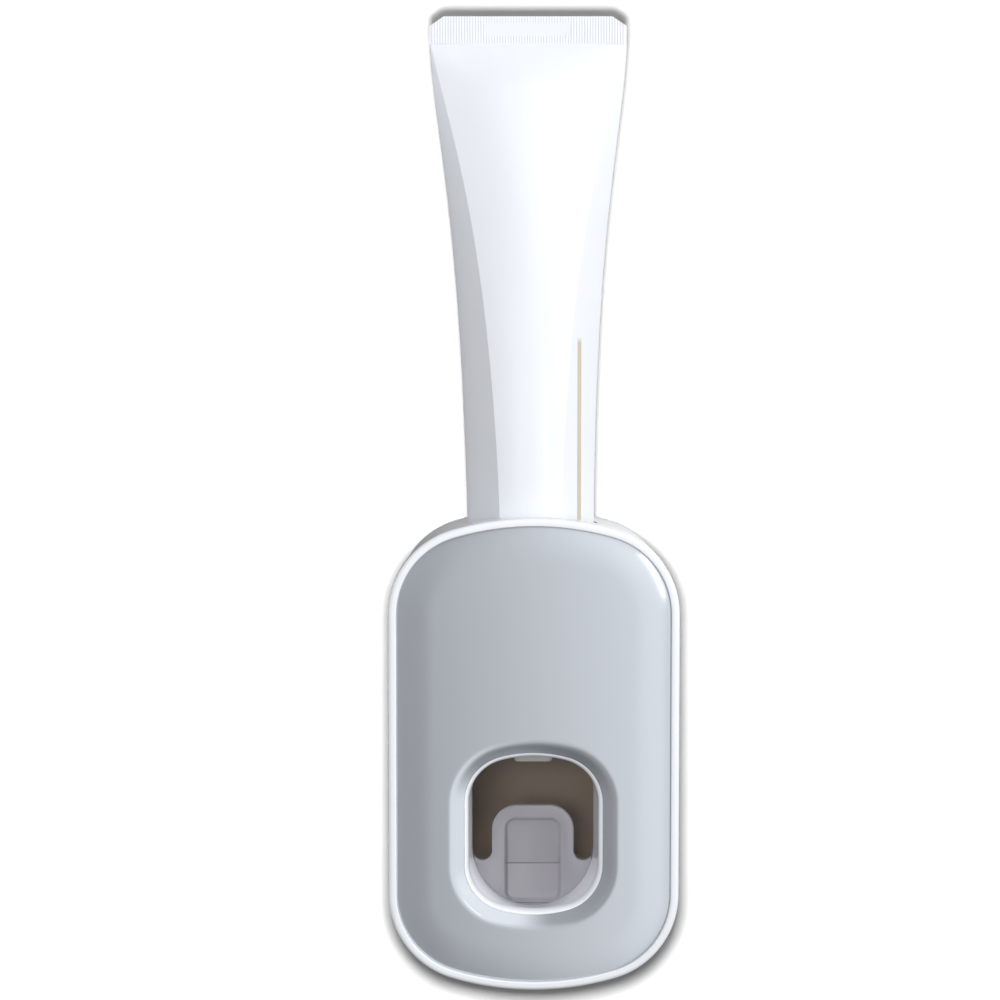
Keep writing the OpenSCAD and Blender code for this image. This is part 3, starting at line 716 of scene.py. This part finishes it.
def throat_ring():
    """The liner's opening just in front of the lever."""
    upper = [(x, z - bay_drop) for x, z in quarter(throat_r, bay_h / 2, throat_corner_r, bay_end_r)]
    lower = (line((throat_r, -bay_drop), (throat_r, lever_foot[1]), SIDE_STEPS)
             + arc(lever_foot, throat_r, 0, -math.pi / 2, CORNER_STEPS + END_STEPS)[1:])
    return mirrored_ring(upper, lower)


def rounded_lip(width, rise):
    """Stations [distance from the opening, rise] of a lip that curves in from its outer edge."""
    turns = [math.pi / 2 * i / 8 for i in range(8, -1, -1)]
    return [(width, rise - 0.1)] + [(width * (1 - math.cos(t)), rise * math.sin(t)) for t in turns]


def bay_liner():
    steps = 8
    taper = [i / steps for i in range(steps + 1)]
    depth = [liner_front - mouth_t + (taper_end - liner_front + mouth_t) * t for t in taper]
    throat_depth = lever_front + 0.05
    lip_out = bevel_in - 0.03
    lip_rise = bevel_drop - bevel_section(BROW_STEPS)[-2][1] + 0.15
    rings = [flat_ring(shield_ring(liner_wall), liner_back)]
    rings += [flat_ring(between(bay_ring(lip_out), shield_ring(liner_wall), t), d)
              for t, d in list(zip(taper, depth))[::-1]]
    for away, rise in rounded_lip(lip_out, lip_rise):
        rings.append(flat_ring(bay_ring(away), liner_front - lip_drop + rise))
    rings += [flat_ring(between(bay_ring(0), throat_ring(), t), depth[0] + (throat_depth - depth[0]) * t)
              for t in taper]
    rings += [flat_ring(shield_ring(0), throat_depth), flat_ring(shield_ring(0), liner_back)]
    rings.append(rings[0])
    liner = loft("bay_tray", rings, meet=True)
    cut(liner, prism("ear_way", box_points((-27, ear_rear), (27, ear_front)), ear_low, ear_high, "z"),
        prism("spout_way", box_points((-6.3, 28), (6.3, 51.3)), -5.0, 7.0, "z"))
    return finish_piece(liner, "housing", WHITE, ["bay_liner"])


bay_liner()

# %% [markdown]
# The lever's plate hangs in the bay like a tongue between two slots. Its outline is one run
# of arcs: a wide foot, a shoulder, the slot, then the tongue's corner. The same run drawn a
# little smaller gives the rings of its rounded edge. The trough for the toothbrush's neck is
# pressed into it, with two sloping floors that meet in a crease.

# %% Push lever
lever_back = 35.5
trough_half = 8.8
tongue_top = bay_top - 18.7
trough_top = tongue_top - 4.4
trough_low = bay_bottom - 0.8
trough_crease = tongue_top - 19.4
groove_w = 0.5
groove_drop = 0.35
trough_soft = 1.5
drop_top, drop_crease, drop_low = 0.8, 2.6, 1.3
slot = (16.3, -34.6)
slot_r = 3.0
slot_opening = math.radians(25)
tongue_half = 13.3
tongue_r = 8.0


def lever_half(inset):
    foot_r = shield_low_r - 0.4 - inset
    shoulder = math.asin((slot[1] - slot_r - 0.6 - lever_foot[1]) / foot_r)
    open_side = -math.acos((slot_r * math.cos(slot_opening) - inset) / (slot_r + inset))
    return (arc(lever_foot, foot_r, -math.pi / 2, shoulder, 26)
            + arc(slot, slot_r + inset, open_side, -math.pi, 20)
            + arc((tongue_half - tongue_r, tongue_top - tongue_r), tongue_r - inset, 0, math.pi / 2, 18))


def lever_ring(inset, depth):
    half = lever_half(inset)
    return flat_ring(half + [(-x, z) for x, z in half[:0:-1]], depth)


def trough_chain(grow):
    half, top, low, r = trough_half + grow, trough_top + grow, trough_low - grow, 3.0 + grow
    above, below = trough_crease + groove_w / 2, trough_crease - groove_w / 2
    return (arc((half - r, top - r), r, math.pi / 2, 0, 8)
            + line((half, top - r), (half, above), 6)[1:]
            + line((half, above), (half, below), 4)[1:]
            + line((half, below), (half, low + r), 4)[1:]
            + arc((half - r, low + r), r, 0, -math.pi / 2, 8)[1:])


def floor_drop(z):
    """How far the trough's floor lies behind the plate's face: deepest at the crease."""
    groove = groove_drop * max(0.0, 1 - abs(z - trough_crease) / (groove_w / 2))
    end, end_drop = (trough_top + 1, drop_top) if z > trough_crease else (trough_low - 1, drop_low)
    share = (end - z) / (end - trough_crease)
    return groove + end_drop + (drop_crease - end_drop) * share


def trough_ring(t):
    """One ring of the trough's soft wall, from the plate's face (t = 0) to the floor (t = 1)."""
    chain = trough_chain(0.6 - trough_soft * t)
    share = t * t * (3 - 2 * t)
    return [at(x, lever_front - share * floor_drop(z), z)
            for x, z in chain + [(-x, z) for x, z in chain[::-1]]]


def fill_holes(piece, wanted):
    """Fills the open edges whose y passes the test, in edit mode."""
    mesh = bmesh.from_edit_mesh(piece.data)
    bpy.ops.mesh.select_all(action="DESELECT")
    for edge in mesh.edges:
        if edge.is_boundary and wanted(edge.verts[0].co.y):
            edge.select = True
    mesh.select_flush(True)
    bpy.ops.mesh.fill(use_beauty=True)


def push_plate():
    edge = 0.7
    rings = [lever_ring(edge, lever_back), lever_ring(0.2, lever_back + 0.2),
             lever_ring(0, lever_back + edge)]
    for i in range(7):
        t = math.pi / 2 * i / 6
        rings.append(lever_ring(edge * (1 - math.cos(t)), lever_front - edge + edge * math.sin(t)))
    plate = loft("push_plate", rings, cap=False)
    trough = loft("trough", [trough_ring(i / 10) for i in range(11)], cap=False)
    select_only(plate, trough)
    bpy.ops.object.join()
    bpy.ops.object.mode_set(mode="EDIT")
    fill_holes(plate, lambda y: y <= -(lever_front - 0.01) * MM)
    fill_holes(plate, lambda y: y > -(lever_back + 0.01) * MM)
    mesh = bmesh.from_edit_mesh(plate.data)
    left = {}
    for e in mesh.edges:
        if e.is_boundary:
            for v in e.verts:
                left[(v.co.x > 0, round(v.co.z / MM, 4))] = v
    rows = sorted({key[1] for key in left}, reverse=True)
    for upper, lower in zip(rows, rows[1:]):
        mesh.faces.new([left[corner] for corner in
                        ((True, upper), (False, upper), (False, lower), (True, lower))])
    bmesh.update_edit_mesh(plate.data)
    bpy.ops.mesh.select_all(action="SELECT")
    bpy.ops.mesh.normals_make_consistent(inside=False)
    bpy.ops.object.mode_set(mode="OBJECT")
    return finish_piece(plate, "lever", LEVER, ["push_lever"])


push_plate()

# %% [markdown]
# Behind the liner the plate's two ears turn into side arms. They run up to the pivot pins
# and on to a yoke, the bar that squeezes the bulb. Each bar is a tapered outline between two
# round ends, drawn from the side and given the arm's thickness.

# %% Lever arms
pivot = (30.0, bay_top - 3.1)
ear = (37.0, -43.7)
yoke = (19.4, 11.5)
arm_in, arm_out = 23.6, 26.1
yoke_bar = ((17.9, 9.0), (20.9, 14.0))
ear_block = ((35.55, -47.1), (38.45, -40.3))


def bar_points(a, ra, b, rb):
    along = math.atan2(b[1] - a[1], b[0] - a[0])
    lean = math.acos((ra - rb) / math.hypot(b[0] - a[0], b[1] - a[1]))
    return (arc(a, ra, along + lean, along + 2 * math.pi - lean, 32)
            + arc(b, rb, along - lean, along + lean, 16))


def lever_arms():
    bar_half = arm_out - 0.2
    arms = prism("lever_arms", soft_box_points(*yoke_bar, 0.6, 4), -bar_half, bar_half, "x")
    for side in (-1, 1):
        x0, x1 = sorted((side * arm_in, side * arm_out))
        e0, e1 = sorted((side * 12.4, side * (arm_out - 0.1)))
        unite(arms, prism("long_bar", bar_points(pivot, 4.5, ear, 3.0), x0, x1, "x"),
              prism("short_bar", bar_points(pivot, 3.8, yoke, 2.2), x0 + 0.02, x1 - 0.02, "x"),
              prism("ear", soft_box_points(*ear_block, 0.5, 3), e0, e1, "x"))
    cut(arms, rod("pin_hole", (-40, *pivot), 1.55, 80, "X"))
    return finish_piece(soften(arms, 0.3, 2, 50), "lever", LEVER, ["push_lever"])


lever_arms()

# %% [markdown]
# The spout comes down through the top of the bay, so only its pale tip shows. The bulb above
# it is soft: in the real dispenser the yoke presses it from behind and it flattens toward its
# front. Here it keeps the shape turned from its section.

# %% Spout and bulb


def spout():
    low = bay_top - 2.6
    block = prism("spout_tip", soft_box_points((-6, 30), (6, 51), 2.0), low, low + 5.0, "z")
    soften(block, 0.5, 3)
    cut(block, rod("channel", (0, 47, low - 1), 1.9, 3.4),
        rod("inlet", (0, tube_depth, low + 2.4), 2.6, 5))
    return finish_piece(block, "housing", PALE, ["spout"])


def turned(name, profile, sides=72):
    """A round piece from its section, given as (radius, height) round a closed loop."""
    turns = [2 * math.pi * k / sides for k in range(sides)]
    rings = [[at(r * math.cos(t), tube_depth + r * math.sin(t), z) for t in turns] for r, z in profile]
    return loft(name, rings + [rings[0]], meet=True)


def squeeze_bulb():
    low, high = [v.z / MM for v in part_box("pump_bulb")]
    outer, wall, bulge = 9.0, 1.6, 1.2
    flange_r, flange_t = 12.0, 2.0
    belly = [(outer - bulge + bulge * math.sin(math.pi * i / 12),
              low + (high - low - flange_t) * i / 12) for i in range(13)]
    flange = [(flange_r, high - flange_t), (flange_r, high), (outer - wall - 1, high)]
    inside = [(r - wall, z) for r, z in belly[::-1]]
    bulb = turned("squeeze_bulb", belly + flange + inside)
    soften(bulb, 0.3, 2)
    finish_piece(bulb, "housing", SILICONE, ["pump_bulb"])
    front = at(0, tube_depth + outer, low)
    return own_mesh(bulb)


spout()
squeeze_bulb()

# %% [markdown]
# The rear casing is a deep tray with a rounded back edge. It is lofted from the back plate
# out to the rim and down again inside, then it gets its bosses, the groove that hangs on
# the wall plate, the pocket round it and the hole for the tube.

# %% Rear casing
wall_plate_front = 4.0
dovetail_top = 18.0
SCREWS = [(x, z) for x in (-28, 28) for z in (24, -50)]


def dovetail_points(grow):
    half = 15 + grow
    return [(-half, wall_plate_front - 0.5), (half, wall_plate_front - 0.5), (half, wall_plate_front),
            (half + 3, wall_plate_front + 4.5 + grow), (-half - 3, wall_plate_front + 4.5 + grow),
            (-half, wall_plate_front)]


def rear_casing():
    turns = [math.pi / 2 * i / 12 for i in range(13)]
    corners = ((1.2, shell_back, 7.0), (shell_inner, shell_back + 3.4, 4.8))
    outside, inside = [[(inset + r * (1 - math.sin(t)), back + r * (1 - math.cos(t))) for t in turns]
                       for inset, back, r in corners]
    mouth = [(1.2, split_depth - 0.3), (1.5, split_depth), (shell_inner - 0.2, split_depth),
             (shell_inner, split_depth - 0.2)]
    casing = loft("rear_casing", [flat_ring(body_ring(i), d) for i, d in outside + mouth + inside[::-1]])
    unite(casing, prism("hanger", box_points((-22, 5.2), (22, 13.4)), -body_h / 2 + 6, 22, "z"))
    for x, z in SCREWS:
        unite(casing, rod("boss", (x, 5.5, z), 3.6, 7.9, "Y", 40))
        cut(casing, rod("pilot", (x, 6.4, z), 1.3, 10, "Y", 24))
    pocket = soft_box_points((-32.3, -body_h), (32.3, 44.3), 14.0)
    cut(casing, prism("pocket", pocket, -2, 4.3),
        prism("groove", dovetail_points(0.3), -23.0, 18.3, "z"),
        prism("window", box_points((-19, 2.3), (19, 8.8)), -66.0, -22.0, "z"),
        tube_hole())
    return finish_piece(casing, "housing", WHITE, ["back_shell"])


rear_casing()

# %% [markdown]
# The wall plate sticks to the tiles with a sheet of foam tape. Both are rounded plates. The
# plate carries the dovetail that the casing drops on to, with its edges broken so that the
# groove finds it.

# %% Wall plate and pad


def rounded_plate(name, half_w, half_h, r, back, front, edge):
    section = [(edge, back), (0, back + edge), (0, front - edge), (edge, front)]
    rings = []
    for inset, depth in section:
        w, h = half_w - inset, half_h - inset
        rings.append(flat_ring(soft_box_points((-w, -h), (w, h), r - inset), depth))
    return loft(name, rings)


def wall_plate():
    plate = rounded_plate("hanging_plate", 32, 44, 14, 1.0, wall_plate_front, 0.5)
    dovetail = prism("dovetail", dovetail_points(0), dovetail_top - 40, dovetail_top, "z")
    soften(dovetail, 0.4, 2)
    return finish_piece(unite(plate, dovetail), "wall", HARD_WHITE, ["wall_plate"])


def foam_pad():
    pad = rounded_plate("tape_pad", 30, 42, 12, 0.0, 1.0, 0.12)
    return finish_piece(pad, "wall", FOAM, ["adhesive_pad"])


wall_plate()
foam_pad()

# %% [markdown]
# The tube stands upside down in the casing. A laminate sleeve keeps its girth: where it is
# round it is 40 mm across, and as it flattens toward the welded end it grows to half its
# girth, 62 mm. A fold runs down each side of the front and back, and each ring has points
# of its own on it, so that the fold stays a crisp line.

# %% Tube sleeve
CRIMP_H = 9.0
CRIMP_T = 1.2
LEAN = 1.7
LEAN_POWER = 0.4
FILL = 48.0
GIRTH_POWER = 1.85
crimp_low = sleeve_top - CRIMP_H


def sleeve_x(z):
    return -LEAN * ((z - sleeve_low) / (sleeve_top - sleeve_low)) ** LEAN_POWER


def sleeve_half_t(below):
    full = 1 - math.exp(-(crimp_low - sleeve_low) / FILL)
    return CRIMP_T / 2 + (tube_r - CRIMP_T / 2) * (1 - math.exp(-below / FILL)) / full


def sleeve_half_w(half_t):
    return tube_r * (math.pi / 2 - (math.pi / 2 - 1) * (half_t / tube_r) ** GIRTH_POWER)


# Where the front panel of the sleeve meets its sides, as a share of the half width. The
# fold runs from the end of the weld down to the round part, which a full tube keeps.
FOLD_LOW = 0.49
FOLD_HIGH = 0.985
FOLD_POWER = 1.55
FOLD_SLOPE = 0.55
SIDE_BEND = 0.9


def fold_share(z):
    up = max(0.0, (z - body_h / 2) / (crimp_low - body_h / 2))
    return FOLD_LOW + (FOLD_HIGH - FOLD_LOW) * up ** FOLD_POWER


def panel_rise(q, z):
    """Depth of the sleeve's front or back at a share q of its half width."""
    q = min(1.0, abs(q))
    round_rise = math.sqrt(1 - q * q)
    fold = fold_share(z)
    edge = math.sqrt(1 - fold * fold)
    if q >= fold:
        flatter = edge * ((1 - q) / (1 - fold)) ** SIDE_BEND
    else:
        crown = min(1.0 - edge, FOLD_SLOPE * fold * fold / (2 * edge))
        flatter = edge + crown * (1 - (q / fold) ** 2)
    blend = min(1.0, max(0.0, (z - sleeve_low) / (body_h / 2 - sleeve_low - 2)))
    return round_rise + (flatter - round_rise) * blend


def sleeve_ring(z, shrink=0.0):
    """One ring, with a point of its own at each of the four folds."""
    half_t = sleeve_half_t(crimp_low - z)
    half_w = sleeve_half_w(half_t)
    fold = math.acos(fold_share(z))
    power = 1 - 0.8 * max(0.0, 1 - half_t / 5.0)
    corners = [0.0, fold, math.pi - fold, math.pi + fold, 2 * math.pi - fold, 2 * math.pi]
    counts = [16, 64, 32, 64, 16]
    ring = []
    for start, end, count in zip(corners, corners[1:], counts):
        for k in range(count):
            u = start + (end - start) * k / count
            rise = math.copysign(panel_rise(math.cos(u), z) ** power, math.sin(u))
            ring.append(at(sleeve_x(z) + (half_w - shrink) * math.cos(u),
                           tube_depth + (half_t - shrink) * rise, z))
    return ring


def tube_sleeve():
    edge = 1.2
    rings = [sleeve_ring(sleeve_low + edge * (1 - math.cos(t)), edge * (1 - math.sin(t)))
             for t in [math.pi / 2 * i / 5 for i in range(6)]]
    levels = 60
    for i in range(1, levels + 1):
        z = sleeve_low + edge + (crimp_low + 0.4 - sleeve_low - edge) * (1 - (1 - i / levels) ** 1.5)
        rings.append(sleeve_ring(min(z, crimp_low)) if z <= crimp_low else
                     [p + Vector((0, 0, (z - crimp_low) * MM)) for p in sleeve_ring(crimp_low)])
    return finish_piece(loft("tube_body", rings), "tube", LAMINATE, ["tube_sleeve"], 4)


tube_sleeve()

# %% [markdown]
# The welded end is ironed between two ribbed jaws, which leave fine upright ribs all the way
# across. In the middle the jaws leave a plain patch for the date, which stays blank here. A
# fine grid has its front and back pushed out where the ribs are.

# %% Welded end
RIB_PITCH = 0.87
RIB_H = 0.16
BLANK = (-13.2, 13.6, 2.9, 7.1)


def crimp_surface(x, up, half):
    """Half thickness of the welded end at a place across and above its lower edge."""
    rib = 0.5 + 0.5 * math.cos(2 * math.pi * x / RIB_PITCH)
    blank = BLANK[0] < x < BLANK[1] and BLANK[2] < up < BLANK[3]
    border = min(up, CRIMP_H - up, half - abs(x))
    ribbed = 0.0 if blank or border < 0.35 else 1.0
    return CRIMP_T / 2 - RIB_H * (1 - rib * ribbed)


def welded_end():
    half = sleeve_half_w(CRIMP_T / 2)
    clip = 3.0
    columns = int(2 * half / RIB_PITCH * 6)
    rows = 22
    grids = []
    for sign in (1, -1):
        deselect()
        bpy.ops.mesh.primitive_grid_add(x_subdivisions=columns, y_subdivisions=rows, size=2)
        grid = bpy.context.object
        for v in grid.data.vertices:
            x = v.co.x * half
            up = (v.co.y + 1) / 2 * CRIMP_H
            thickness = crimp_surface(x, up, half)
            limit = half - max(0.0, up - (CRIMP_H - clip)) * 1.5
            x = max(-limit, min(limit, x))
            v.co = at(x + sleeve_x(sleeve_top), tube_depth + sign * thickness, crimp_low + up)
        grids.append(grid)
    select_only(*grids)
    bpy.ops.object.join()
    piece = bpy.context.object
    piece.name = piece.data.name = "welded_end"
    bpy.ops.object.mode_set(mode="EDIT")
    bpy.ops.mesh.select_all(action="DESELECT")
    bpy.ops.mesh.select_non_manifold()
    bpy.ops.mesh.bridge_edge_loops()
    bpy.ops.mesh.select_all(action="SELECT")
    bpy.ops.mesh.remove_doubles(threshold=1e-6)
    bpy.ops.mesh.normals_make_consistent(inside=False)
    bpy.ops.object.mode_set(mode="OBJECT")
    return finish_piece(piece, "tube", LAMINATE, ["tube_sleeve"], 50)


welded_end()

# %% [markdown]
# Under the sleeve sits the hard shoulder with its nozzle. It shows only when the tube is
# lifted out. A real nozzle has a screw thread for the cap, made here by lofting a small
# triangle along a rising turn round the axis, with its ends faded into the nozzle.

# %% Tube head


def tube_head():
    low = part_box("tube_head")[0].z / MM
    nozzle_r = 6.0
    top = low + 12
    core = nozzle_r - 0.7
    bore, rim = 3.8, tube_r - 1.2
    profile = [(bore, low), (core - 0.4, low), (core, low + 0.4), (core, top - 1.6),
               (nozzle_r, top - 1.2), (nozzle_r, top), (7.5, top), (rim - 0.2, sleeve_low - 0.6),
               (rim, sleeve_low - 0.2), (rim, sleeve_low), (bore, sleeve_low)]
    head = turned("tube_shoulder", profile, 96)
    pitch, thread_turns, steps = 2.6, 3, 48
    rings = []
    for i in range(thread_turns * steps + 1):
        angle = 2 * math.pi * i / steps
        fade = min(1.0, i / 8, (thread_turns * steps - i) / 8)
        z = low + 1.2 + pitch * i / steps
        corners = [(core - 0.3, z - 0.6), (core + 0.05 + 0.62 * fade, z), (core - 0.3, z + 0.6)]
        rings.append([at(r * math.cos(angle), tube_depth + r * math.sin(angle), h) for r, h in corners])
    unite(head, loft("thread", rings))
    return finish_piece(head, "tube", HARD_WHITE, ["tube_head"])


tube_head()

# %% [markdown]
# The small inner parts keep their CAD shape, which is already right. Each gets the finish of
# its real material.

# %% Finishes of the inner parts
INNER = {
    "pump_frame": GREY, "tube_socket": GREY, "bulb_retainer": GREY, "bay_back": TAUPE,
    "frame_screws": STEEL, "pivot_pins": STEEL, "return_springs": STEEL,
    "seal_ring": SILICONE, "inlet_valve": SILICONE, "outlet_valve": SILICONE,
    "lever_bumpers": RUBBER, "presser_pad": RUBBER,
}
for node, material in INNER.items():
    NODES[node].data.materials.clear()
    NODES[node].data.materials.append(material)
print("finished", len(INNER), "inner parts")

# %% [markdown]
# The set is a plain white wall with a pale floor far below. Both are there for the camera
# alone. Seen from behind the wall is clear, so that the back of the dispenser can be looked at.

# %% Wall and floor
FLOOR_Z = -0.32


def stage_finish(name, level):
    finish = Finish(name, (level, level, level, 1), roughness=0.9, specular_ior_level=0.0)
    clear = finish.add("ShaderNodeBsdfTransparent").outputs[0]
    behind = finish.add("ShaderNodeNewGeometry").outputs["Backfacing"]
    mix = finish.add("ShaderNodeMixShader", inputs={0: behind, 1: finish.shader.outputs[0], 2: clear})
    finish.feed(finish.tree.nodes["Material Output"].inputs["Surface"], mix.outputs[0])
    return finish.material


def backdrop(name, size, place, turn, material):
    deselect()
    bpy.ops.mesh.primitive_plane_add(size=size, location=place, rotation=turn)
    plane = bpy.context.object
    plane.name = name
    plane.data.materials.append(material)
    for ray in ("visible_diffuse", "visible_glossy", "visible_transmission", "visible_shadow"):
        setattr(plane, ray, False)
    return plane


WALL_LEVEL = 0.26
FLOOR_LEVEL = 0.8
WALL = backdrop("wall", 8.0, (0, 0.0003, 0), (math.pi / 2, 0, 0), stage_finish("wall_white", WALL_LEVEL))
FLOOR = backdrop("floor", 8.0, (0, 0, FLOOR_Z), (0, 0, 0), stage_finish("floor_pale", FLOOR_LEVEL))

# %% [markdown]
# Light: a broad lamp left of the camera fills the front evenly and the key stands high. A
# lamp low on the right grazes the front and whitens what faces right, and a weaker one on the
# left answers it. These four give light and no mirror image. A narrow, weak softbox is there
# to be mirrored: it draws the streak on the face's upper corner and the one on the opening's
# edge. The last lamp, close in front, lights the wall and floor alone, so that they are white
# however the object is lit, and its shadow is the soft dark line round the object.

# %% Lights and sky


def softbox(name, place, target, width, height, power, mirrored=False, tilt=0.0):
    data = bpy.data.lights.new(name, "AREA")
    data.shape = "RECTANGLE"
    data.size = width
    data.size_y = height
    data.energy = power
    lamp = bpy.data.objects.new(name, data)
    bpy.context.scene.collection.objects.link(lamp)
    lamp.location = place
    lamp.rotation_mode = "QUATERNION"
    aim = (Vector(target) - Vector(place)).to_track_quat("-Z", "Y")
    lamp.rotation_quaternion = aim @ Quaternion((0, 0, 1), math.radians(tilt))
    lamp.visible_glossy = mirrored
    return lamp


MIDDLE = (0.0, -0.05, 0.03)
softbox("front", (-0.20, -0.98, 0.14), MIDDLE, 0.30, 0.30, 2.3)
softbox("key", (0.02, -0.80, 0.55), MIDDLE, 0.40, 0.30, 2.6)
softbox("side", (0.85, -0.40, 0.25), MIDDLE, 0.30, 0.40, 5.2)
softbox("answer", (-0.50, -0.60, 0.40), MIDDLE, 0.24, 0.16, 0.7)
softbox("streak", (0.292, -1.03, 0.086), MIDDLE, 0.042, 0.185, 0.06, mirrored=True, tilt=22)


def light_stage():
    """A small lamp that only the wall and floor receive."""
    place = Vector((-0.012, -0.68, 0.118))
    lamp = softbox("stage_lamp", place, place + Vector((0, 1, 0)), 0.055, 0.055, 20.5)
    lit = bpy.data.collections.new("lit_by_stage_lamp")
    for plane in (WALL, FLOOR):
        lit.objects.link(plane)
    lamp.light_linking.receiver_collection = lit


light_stage()

# What gloss mirrors is dim to the left and below, and brightest above, as in a real studio.
# That is what shades the flat face from one side to the other.
SKY_LIGHT = 0.26
MIRRORED_LEFT = 0.16
MIRRORED_BELOW = 0.10
MIRRORED_ABOVE = 1.15


def studio_sky():
    world = bpy.data.worlds.new("studio")
    world.use_nodes = True
    sky = Nodes(world.node_tree)
    direction = sky.add("ShaderNodeTexCoord").outputs["Generated"]
    where = sky.add("ShaderNodeSeparateXYZ", inputs={0: direction}).outputs
    x, z = Value(sky, where["X"]), Value(sky, where["Z"])
    mirrored = x.ramp(-0.15, 0.17, MIRRORED_LEFT, 1.0) * (
        z.ramp(-0.9, -0.2, MIRRORED_BELOW, 1.0) * z.ramp(-0.15, 0.1, 1.0, MIRRORED_ABOVE))
    ray = sky.add("ShaderNodeLightPath").outputs
    strength = SKY_LIGHT
    for kind, level in (("Glossy", mirrored), ("Transmission", 1.0), ("Camera", 1.0)):
        choice = {0: ray[f"Is {kind} Ray"], 2: strength, 3: level}
        strength = sky.add("ShaderNodeMix", inputs=choice).outputs[0]
    background = world.node_tree.nodes["Background"]
    background.inputs["Color"].default_value = (1, 1, 1, 1)
    sky.feed(background.inputs["Strength"], strength)
    return world


bpy.context.scene.world = studio_sky()

bpy.context.scene.view_settings.view_transform = "Standard"
